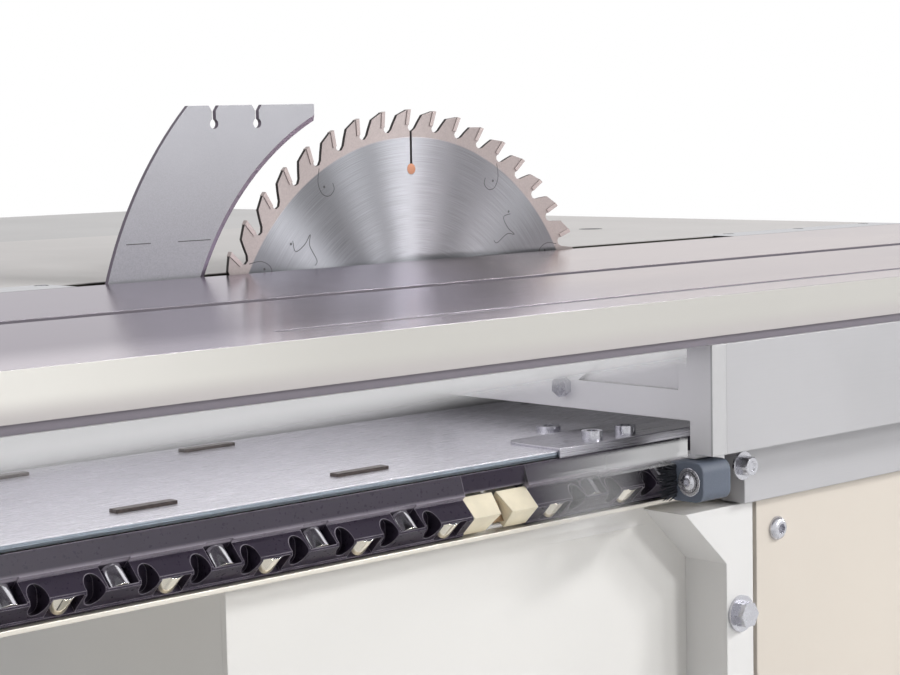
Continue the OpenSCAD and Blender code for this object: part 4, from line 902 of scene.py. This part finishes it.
# Drilled ends in one quarter: reach in millimetres and bearing in degrees
QUARTER_DRILLS = ((132, 31), (132, 59), (124, 41))
QUARTERS = 4
DRILL_RADIUS = 0.8 * MM
LINE_RISE = 0.02 * MM
DRILL_RINGS = ((DRILL_RADIUS, 0, 0), (DRILL_RADIUS, LINE_RISE, 0))
PLUG_REACH = 122 * MM
PLUG_BEARING = math.radians(0.3)
PLUG_ROOT = 0.5 * MM
PLUG_RISE = 0.06 * MM


def on_blade(reach, bearing, face):
    """Point on a face of the blade."""
    return Vector((AXLE.x + reach * math.sin(bearing), face, AXLE.z + reach * math.cos(bearing)))


class BladeFittings(bpy.types.Operator):
    """Adds the plugs and damping cuts of the blade"""

    bl_idname = "table_saw.blade_fittings"
    bl_label = "Blade plugs and cuts"

    def execute(self, context):
        sizes = context.scene.saw_fittings
        radius = sizes.plug_radius
        plugs = []
        cuts = bmesh.new()
        for side, face in plate_faces("saw_blade"):
            normal = Vector((0, side, 0))
            for k in range(QUARTERS):
                start = k * FULL_TURN / QUARTERS + PLUG_BEARING
                plugs.append((on_blade(PLUG_REACH, start, face), normal))
                for bearing, cut, hand in QUARTER_CUTS:
                    line = [on_blade(reach * MM, start + math.radians(bearing + hand * swing), face)
                            for reach, swing in cut]
                    ribbon(cuts, smoothed(line), sizes.cut_width, normal, LINE_RISE)
                for reach, bearing in QUARTER_DRILLS:
                    centre = on_blade(reach * MM, start + math.radians(bearing), face)
                    turned(cuts, DRILL_RINGS, centre, normal, steps=12)
        rings = [(radius, -PLUG_ROOT, 0), (radius, 0, 0), (radius * 0.85, PLUG_RISE, 0)]
        turned_piece("blade_plugs", "copper", "saw", rings, plugs)
        piece("blade_damping_cuts", cuts, "engraved", "saw")
        return {"FINISHED"}


# Ends of the knife's line and its height, in millimetres from the blade's middle line at table height
KNIFE_LINES = ((-206, -190), (-172, -150))
KNIFE_LINE_HEIGHT = 20


class KnifeLine(bpy.types.Operator):
    """Adds the engraved setting line of the riving knife"""

    bl_idname = "table_saw.knife_line"
    bl_label = "Knife line"

    def execute(self, context):
        width = context.scene.saw_fittings.line_width
        bm = bmesh.new()
        for side, face in plate_faces("riving_knife"):
            for ends in KNIFE_LINES:
                points = [spot(end, 0, KNIFE_LINE_HEIGHT) for end in ends]
                for point in points:
                    point.y = face
                ribbon(bm, points, width, (0, side, 0), LINE_RISE)
        piece("knife_setting_line", bm, "engraved", "lift")
        return {"FINISHED"}


# Screws of the insert: ends of the blade slot in millimetres, spacing, first place, row and depth of the seat
INSERT_SLOT = (-240, 298)
INSERT_PITCH = 80 * MM
INSERT_START = 24 * MM
INSERT_ROW = 20 * MM
INSERT_SEAT = 1 * MM
INSERT_HEAD = 0.9 * MM
# Screws of the end caps: places across the deck in millimetres, depth under its top and height of a head
END_CAP_PLACES = (-300, -215, -120)
END_CAP_DEPTH = 12 * MM
END_CAP_HEAD = 2.4 * MM
# Plug of the fixed table and bolt of the bridge leg, in millimetres from the blade's middle line
TABLE_PLUG_PLACE = (334, 165, 0)
TABLE_PLUG_ROOT = 0.4 * MM
TABLE_PLUG_EDGE = 0.05 * MM
TABLE_PLUG_RISE = 0.08 * MM
LEG_BOLT_PLACE = (-62, -303, -86)
LEG_BOLT_HEIGHT = 6.5 * MM


class TableScrews(bpy.types.Operator):
    """Adds the screws of the insert, the end caps and the bridge leg, and the plug of the fixed table"""

    bl_idname = "table_saw.table_screws"
    bl_label = "Table screws"

    def execute(self, context):
        sizes = context.scene.saw_fittings
        low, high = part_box("table_insert")
        slot_rear, slot_front = (spot(end, 0, 0).x for end in INSERT_SLOT)
        places = []
        for start, end in ((low.x, slot_rear), (slot_front, high.x)):
            x = start + INSERT_START
            while x <= end:
                places.append(((x, AXLE.y + INSERT_ROW, TABLE_TOP - INSERT_SEAT), (0, 0, 1)))
                x += INSERT_PITCH
        rings = button_screw(sizes.insert_screw, INSERT_HEAD)
        turned_piece("insert_screws", "screw_steel", "base", rings, places)
        cover = sizes.plug_cover
        rings = [(cover, -TABLE_PLUG_ROOT, 0), (cover, TABLE_PLUG_EDGE, 0), (cover * 0.9, TABLE_PLUG_RISE, 0)]
        places = [(spot(*TABLE_PLUG_PLACE), (0, 0, 1))]
        turned_piece("table_plug", "engraved", "base", rings, places, steps=40)
        low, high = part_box("table_end_caps")
        places = [((x, AXLE.y + y * MM, TABLE_TOP - END_CAP_DEPTH), (way, 0, 0))
                  for x, way in ((low.x, -1), (high.x, 1)) for y in END_CAP_PLACES]
        rings = button_screw(sizes.insert_screw, END_CAP_HEAD)
        turned_piece("end_cap_screws", "screw_steel", "sliding_table", rings, places)
        rings = hex_bolt(sizes.leg_bolt, LEG_BOLT_HEIGHT)
        places = [(spot(*LEG_BOLT_PLACE), (0, -1, 0))]
        turned_piece("leg_bolt", "screw_steel", "sliding_table", rings, places, steps=48)
        return {"FINISHED"}


# Brush of the buffer: tufts up and across, distances of the roots and changes in their lean
BRISTLE_ROWS = 26
BRISTLE_COLUMNS = 4
BRISTLE_INSET = 2.5 * MM
BRISTLE_ROOT = 0.6 * MM
BRISTLE_GAP = 1.5 * MM
BRISTLE_STRAY = (0.2 * MM, 1.2 * MM)
BRISTLE_SWAY = (-0.15, 0.15)
BRISTLE_LEAN = 0.55
BRISTLE_LEAN_STEP = 0.12
BRISTLE_FAN = 0.9
BRISTLE_REACH = (0.7, 1.0)
BRUSH_SEED = 7
WASHER_THICK = 0.7 * MM
SHADOW_RING_THICK = 0.55 * MM
BUTTON_HEIGHT = 2.2 * MM


class BufferBrush(bpy.types.Operator):
    """Adds the bristles of the buffer, and the washer, a dark ring of painted shadow and the domed head of
    its screw
    """

    bl_idname = "table_saw.buffer_brush"
    bl_label = "Buffer brush"

    def execute(self, context):
        sizes = context.scene.saw_fittings
        low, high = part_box("buffer_block")
        self.brush(sizes, low, high)
        screw = middle("buffer_screw")
        places = [((low.x, screw.y, screw.z), (-1, 0, 0))]
        washer = flat_ring(sizes.washer_inner, sizes.washer_outer, WASHER_THICK)
        # Dark flat ring between the washer and the button: painted shadow
        seat = flat_ring(sizes.buffer_button, sizes.washer_inner, SHADOW_RING_THICK)
        button = button_screw(sizes.buffer_button, BUTTON_HEIGHT)
        body = "sliding_table"
        turned_piece("buffer_washer", "screw_steel", body, washer, places, steps=40, closed=True)
        turned_piece("buffer_seat", "engraved", body, seat, places, steps=40, closed=True)
        turned_piece("buffer_button", "screw_steel", body, button, places, steps=32)
        return {"FINISHED"}

    def brush(self, sizes, low, high):
        """Tufts that fan out from the far edge of the block."""
        chance = random.Random(BRUSH_SEED)
        radius = sizes.bristle_radius
        bm = bmesh.new()
        for i in range(BRISTLE_ROWS):
            rise = i / (BRISTLE_ROWS - 1)
            height = low.z + BRISTLE_INSET + (high.z - low.z - 2 * BRISTLE_INSET) * rise
            for column in range(BRISTLE_COLUMNS):
                depth = column * BRISTLE_GAP + chance.uniform(*BRISTLE_STRAY)
                lean_y = BRISTLE_LEAN - BRISTLE_LEAN_STEP * column + chance.uniform(*BRISTLE_SWAY)
                lean_z = (rise - 0.5) * BRISTLE_FAN + chance.uniform(*BRISTLE_SWAY)
                reach = sizes.bristle_length * chance.uniform(*BRISTLE_REACH)
                rings = [(radius, 0, 0), (radius * 0.8, reach * 0.7, 0), (radius * 0.3, reach, 0)]
                root = (low.x + BRISTLE_ROOT, high.y - depth, height)
                turned(bm, rings, root, (-1, lean_y, lean_z), steps=6)
        piece("buffer_bristles", bm, "bristle", "sliding_table")


# Felt wedge: half its thickness, half its width at the foot and at the top, and its reach from the middle
WEDGE_HALF = 1.4 * MM
WEDGE_FOOT = 4.6 * MM
WEDGE_TOP = 0.6 * MM
WEDGE_DOWN = 5.2 * MM
WEDGE_UP = 4.5 * MM


class CageFelt(bpy.types.Operator):
    """Adds the brown felt wedge between the ivory wipers"""

    bl_idname = "table_saw.cage_felt"
    bl_label = "Cage felt"

    def execute(self, context):
        centre = middle("cage_wipers")
        corners = (
            (-WEDGE_FOOT, -WEDGE_DOWN), (WEDGE_FOOT, -WEDGE_DOWN),
            (WEDGE_TOP, WEDGE_UP), (-WEDGE_TOP, WEDGE_UP),
        )
        bm = bmesh.new()
        skin(bm, [[bm.verts.new(centre + Vector((x, y, z))) for x, z in corners]
                  for y in (-WEDGE_HALF, WEDGE_HALF)])
        piece("cage_felt", bm, "brown_felt", "outer_cage")
        return {"FINISHED"}


PANEL_SCREW_HEIGHT = 3.2 * MM
PANEL_SCREW_INSET = 16 * MM
# Heights of the screws as shares of a panel's height
END_PANEL_SHARES = (0.06, 0.36, 0.66, 0.93)
END_PANEL_TOP_SHARE = 0.94
SIDE_PANEL_SHARES = (0.05, 0.95)


class PanelScrews(bpy.types.Operator):
    """Adds the screws of the cabinet's panels"""

    bl_idname = "table_saw.panel_screws"
    bl_label = "Panel screws"

    def execute(self, context):
        inset = PANEL_SCREW_INSET
        places = []
        for node, way in (("front_panel", 1), ("rear_panel", -1)):
            low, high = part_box(node)
            face = high.x if way > 0 else low.x
            for y in (low.y + inset, high.y - inset):
                for share in END_PANEL_SHARES:
                    z = low.z + (high.z - low.z) * share * END_PANEL_TOP_SHARE
                    places.append(((face, y, z), (way, 0, 0)))
        low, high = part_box("right_panel")
        for x in (low.x + inset, (low.x + high.x) / 2, high.x - inset):
            for share in SIDE_PANEL_SHARES:
                places.append(((x, high.y, low.z + (high.z - low.z) * share), (0, 1, 0)))
        low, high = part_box("side_cover")
        for x in (low.x + inset, high.x - inset):
            for z in (low.z + inset, high.z - inset):
                places.append(((x, low.y, z), (0, -1, 0)))
        rings = button_screw(context.scene.saw_fittings.panel_screw, PANEL_SCREW_HEIGHT)
        turned_piece("panel_screws", "screw_steel", "base", rings, places)
        return {"FINISHED"}


# Louvres of the door, in millimetres from the blade's middle line at table height
LOUVRE_FACE = -353.3
LOUVRE_ENDS = (110, 290)
LOUVRE_LOWEST = -300
LOUVRE_LIMIT = -220
LOUVRE_PITCH = 18
# Heights of a louvre's profile above and below its line
LOUVRE_ROOT = 5 * MM
LOUVRE_BROW = 4 * MM
LOUVRE_MOUTH = 6 * MM
LOUVRE_STEPS = 10
LOUVRE_END_SHARE = 1 / 6
LOUVRE_MOUTH_SHARE = 0.8
WELD = 0.01 * MM


class DoorLouvres(bpy.types.Operator):
    """Adds pressed louvres to the access door"""

    bl_idname = "table_saw.door_louvres"
    bl_label = "Door louvres"

    def execute(self, context):
        rise = context.scene.saw_fittings.louvre_height
        bm = bmesh.new()
        for height in range(LOUVRE_LOWEST, LOUVRE_LIMIT, LOUVRE_PITCH):
            start, end = (spot(LOUVRE_FACE, y, height) for y in LOUVRE_ENDS)
            loops = []
            for i in range(LOUVRE_STEPS + 1):
                share = i / LOUVRE_STEPS
                out = rise * min(1.0, share / LOUVRE_END_SHARE, (1 - share) / LOUVRE_END_SHARE) ** 0.5
                profile = ((0, LOUVRE_ROOT), (-out, -LOUVRE_BROW), (-out * LOUVRE_MOUTH_SHARE, -LOUVRE_MOUTH),
                           (0, -LOUVRE_MOUTH))
                line = start.lerp(end, share)
                loops.append([bm.verts.new(line + Vector((x, 0, z))) for x, z in profile])
            skin(bm, loops)
        bmesh.ops.remove_doubles(bm, verts=bm.verts[:], dist=WELD)
        piece("door_louvres", bm, "door_paint", "door")
        return {"FINISHED"}


COLLAR_GAP = 0.4 * MM
COLLAR_THICK = 1.6 * MM
# Each row: piece, node and finish of a collar
COLLARS = (
    ("start_collar", "start_button", "screw_steel"),
    ("stop_collar", "stop_button", "collar_yellow"),
)
# Each row: piece, body and hub of a wheel cap, in millimetres from the blade's middle line at table height
WHEEL_CAPS = (
    ("height_wheel_cap", "rise_wheel", (476, 62, -300)),
    ("tilt_wheel_cap", "lean_wheel", (476, 250, -300)),
)
# Rings of the caps: radius, height and sides, 0 for round
WHEEL_CAP_RINGS = ((13 * MM, 0, 0), (13 * MM, 1.5 * MM, 0), (11 * MM, 3 * MM, 0), (6 * MM, 3.6 * MM, 0))
RAIL_CAP_RADIUS = 19.4 * MM
RAIL_CAP_RINGS = (
    (RAIL_CAP_RADIUS, 0, 0), (RAIL_CAP_RADIUS, 2.5 * MM, 0),
    (RAIL_CAP_RADIUS * 0.9, 4 * MM, 0), (RAIL_CAP_RADIUS * 0.5, 4.6 * MM, 0),
)


class ControlFittings(bpy.types.Operator):
    """Adds the collars behind the push buttons and the caps of the wheels and the fence bar"""

    bl_idname = "table_saw.control_fittings"
    bl_label = "Collars and caps"

    def execute(self, context):
        width = context.scene.saw_fittings.collar_width
        box_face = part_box("control_box")[1].x
        for name, node, look in COLLARS:
            low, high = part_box(node)
            head = (high.y - low.y) / 2
            rings = flat_ring(head + COLLAR_GAP, head + width, COLLAR_THICK)
            centre = middle(node)
            centre.x = box_face
            places = [(centre, (1, 0, 0))]
            turned_piece(name, look, "base", rings, places, steps=40, closed=True)
        for name, body, hub in WHEEL_CAPS:
            places = [(spot(*hub), (1, 0, 0))]
            turned_piece(name, "screw_steel", body, WHEEL_CAP_RINGS, places, steps=40)
        low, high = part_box("fence_rail")
        centre = middle("fence_rail")
        places = [((centre.x, y, centre.z), (0, way, 0)) for y, way in ((low.y, -1), (high.y, 1))]
        turned_piece("rail_caps", "knob_plastic", "base", RAIL_CAP_RINGS, places, steps=40)
        return {"FINISHED"}


FIN_COUNT = 40
FIN_HALF = 1.2 * MM
FIN_ROOT = 1 * MM
FIN_TAPER_SHARE = 0.7
FIN_START = 20 * MM
FIN_END = 45 * MM
FIN_EASE = 0.3 * MM
# Half of the angle at the top that the terminal box keeps free
FIN_GAP = math.radians(38)


class MotorFins(bpy.types.Operator):
    """Adds the cooling fins of the motor"""

    bl_idname = "table_saw.motor_fins"
    bl_label = "Motor fins"

    def execute(self, context):
        depth = context.scene.saw_fittings.fin_depth
        low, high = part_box("motor")
        radius = (high.x - low.x) / 2
        profile = (
            (radius - FIN_ROOT, -1), (radius + depth, -FIN_TAPER_SHARE),
            (radius + depth, FIN_TAPER_SHARE), (radius - FIN_ROOT, 1),
        )
        bm = bmesh.new()
        for i in range(FIN_COUNT):
            angle = FULL_TURN * i / FIN_COUNT
            if abs(math.remainder(angle - math.pi / 2, FULL_TURN)) < FIN_GAP:
                continue
            out = Vector((math.cos(angle), 0, math.sin(angle)))
            across = Vector((-math.sin(angle), 0, math.cos(angle))) * FIN_HALF
            loops = []
            for y in (low.y + FIN_START, high.y - FIN_END):
                base = Vector(((low.x + high.x) / 2, y, low.z + radius))
                loops.append([bm.verts.new(base + out * reach + across * side) for reach, side in profile])
            skin(bm, loops)
        piece("motor_fins", bm, "motor_paint", "lift", bevel=FIN_EASE)
        return {"FINISHED"}


FLOOR_RADIUS = 40.0
FLOOR_SIDES = 96
# Distances between which the floor turns white
FLOOR_FADE = (2.0, 5.0)
SENSOR_WIDTH = 36.0
NEAREST_SEEN = 0.05
FARTHEST_SEEN = 200.0
SAW_MIDDLE = Vector((0.0, 0.0, 0.8))
# Each row: name, place, aim, width and height in metres, power in watts, and whether metal mirrors the lamp
LAMPS = (
    ("front_lamp", (0.88, -3.62, 2.0), SAW_MIDDLE, 0.48, 0.48, 30.0, True),
    ("middle_lamp", (1.71, -3.02, 2.5), SAW_MIDDLE, 0.45, 0.4, 20.0, True),
    ("side_lamp", (2.48, -2.65, 2.55), SAW_MIDDLE, 0.65, 0.42, 44.0, True),
    ("right_lamp", (3.41, -1.4, 1.66), SAW_MIDDLE, 0.5, 0.5, 18.0, True),
    ("top_lamp", (0.6, 1.8, 4.0), SAW_MIDDLE, 3.0, 3.0, 55.0, False),
    ("tunnel_lamp", spot(-370, -221, -24.6), spot(-370, -221, -60), 0.48, 0.16, 0.29, True),
    ("portal_lamp", spot(-10, -205, -24.6), spot(-10, -205, -60), 0.17, 0.1, 0.02, True),
)


class SetStage(bpy.types.Operator):
    """Adds the floor, the lamps, the world and the camera"""

    bl_idname = "table_saw.set_stage"
    bl_label = "Stage"

    def execute(self, context):
        scene = context.scene
        stage = scene.saw_stage
        scene.view_settings.view_transform = "Standard"
        self.floor(stage)
        self.world(scene, stage)
        for name, place, aim, wide, tall, power, mirrored in LAMPS:
            lamp = bpy.data.lights.new(name, "AREA")
            lamp.shape = "RECTANGLE"
            lamp.size = wide
            lamp.size_y = tall
            lamp.energy = power
            obj = bpy.data.objects.new(name, lamp)
            obj.visible_glossy = mirrored
            obj.location = place
            obj.rotation_euler = (aim - Vector(place)).to_track_quat("-Z", "Y").to_euler()
            scene.collection.objects.link(obj)
        self.camera(scene, stage)
        return {"FINISHED"}

    def floor(self, stage):
        """Pale floor that fades into the white surroundings."""
        bm = bmesh.new()
        bmesh.ops.create_circle(bm, cap_ends=True, radius=FLOOR_RADIUS, segments=FLOOR_SIDES)
        mesh = bpy.data.meshes.new("floor")
        bm.to_mesh(mesh)
        bm.free()
        floor = bpy.data.objects.new("floor", mesh)
        bpy.context.scene.collection.objects.link(floor)
        coat = Finish("floor")
        clouds = coat.noise(size=0.6, detail=3.0)
        coat.set({
            "Base Color": coat.tones(clouds, stage.floor_colour, dark=0.985, light=1.01),
            "Roughness": 0.75,
            "Specular IOR Level": 0.2,
        })
        path = coat.add("ShaderNodeLightPath")
        seen = coat.math("MAXIMUM", path.outputs["Is Camera Ray"], path.outputs["Is Glossy Ray"])
        seen = coat.math("MAXIMUM", seen, path.outputs["Is Transmission Ray"])
        reach = coat.vector("LENGTH", coat.place, (0, 0, 0), "Value")
        fade = coat.times(seen, coat.ramp(reach, *FLOOR_FADE))
        white = coat.add("ShaderNodeEmission", {"Color": WHITE, "Strength": 1.0})
        both = coat.add("ShaderNodeMixShader", {0: fade, 1: coat.shader.outputs[0], 2: white.outputs[0]})
        out = next(n for n in coat.tree.nodes if n.type == "OUTPUT_MATERIAL")
        coat.tree.links.new(both.outputs[0], out.inputs["Surface"])
        mesh.materials.append(coat.material)

    def world(self, scene, stage):
        """Even light for the object, white where it is seen."""
        world = bpy.data.worlds.new("surroundings")
        world.use_nodes = True
        scene.world = world
        tree = world.node_tree
        tree.nodes.clear()
        out = tree.nodes.new("ShaderNodeOutputWorld")
        lights = []
        for strength in (stage.sky, 1.0):
            light = tree.nodes.new("ShaderNodeBackground")
            light.inputs["Color"].default_value = (*WHITE, 1.0)
            light.inputs["Strength"].default_value = strength
            lights.append(light)
        path = tree.nodes.new("ShaderNodeLightPath")
        seen = path.outputs["Is Camera Ray"]
        for kind in ("Is Glossy Ray", "Is Transmission Ray"):
            either = tree.nodes.new("ShaderNodeMath")
            either.operation = "MAXIMUM"
            tree.links.new(seen, either.inputs[0])
            tree.links.new(path.outputs[kind], either.inputs[1])
            seen = either.outputs[0]
        both = tree.nodes.new("ShaderNodeMixShader")
        tree.links.new(seen, both.inputs[0])
        for k, light in enumerate(lights, start=1):
            tree.links.new(light.outputs[0], both.inputs[k])
        tree.links.new(both.outputs[0], out.inputs["Surface"])

    def camera(self, scene, stage):
        """Camera at the photograph's viewing angle."""
        forward = Vector((math.sin(stage.heading) * math.cos(stage.pitch),
                          math.cos(stage.heading) * math.cos(stage.pitch), math.sin(stage.pitch)))
        level = Vector((math.cos(stage.heading), -math.sin(stage.heading), 0))
        up = level.cross(forward)
        right = level * math.cos(stage.roll) + up * math.sin(stage.roll)
        top = up * math.cos(stage.roll) - level * math.sin(stage.roll)
        data = bpy.data.cameras.new("view")
        data.lens = stage.lens
        data.sensor_width = SENSOR_WIDTH
        data.shift_y = stage.drop_share
        data.clip_start = NEAREST_SEEN
        data.clip_end = FARTHEST_SEEN
        camera = bpy.data.objects.new("view", data)
        turn = Matrix((right, top, -forward)).transposed().to_4x4()
        camera.matrix_world = Matrix.Translation(Vector(stage.camera_place)) @ turn
        scene.collection.objects.link(camera)
        scene.camera = camera


class SawPanel(bpy.types.Panel):
    """Lists the saw's operators and properties"""

    bl_idname = "VIEW3D_PT_table_saw"
    bl_label = "Table saw"
    bl_space_type = "VIEW_3D"
    bl_region_type = "UI"
    bl_category = "Table saw"

    def draw(self, context):
        for step in STEPS:
            self.layout.operator(step.bl_idname)
        for group in (context.scene.saw_colours, context.scene.saw_fittings, context.scene.saw_stage):
            for key in group.__annotations__:
                self.layout.prop(group, key)


STEPS = (DressSolids, BladeFittings, KnifeLine, TableScrews, BufferBrush, CageFelt, PanelScrews, DoorLouvres,
         ControlFittings, MotorFins, SetStage)
GROUPS = {"saw_colours": SawColours, "saw_fittings": SawFittings, "saw_stage": SawStage}


def register():
    """Registers the classes and ties the properties to the scene."""
    for item in (*GROUPS.values(), *STEPS, SawPanel):
        bpy.utils.register_class(item)
    for key, group in GROUPS.items():
        setattr(bpy.types.Scene, key, bpy.props.PointerProperty(type=group))


def unregister():
    """Takes everything back out."""
    for key in GROUPS:
        delattr(bpy.types.Scene, key)
    for item in reversed((*GROUPS.values(), *STEPS, SawPanel)):
        bpy.utils.unregister_class(item)


def main():
    """Builds the whole scene and notes its size."""
    register()
    for step in STEPS:
        group, name = step.bl_idname.split(".")
        getattr(getattr(bpy.ops, group), name)()


if __name__ == "__main__":
    main()
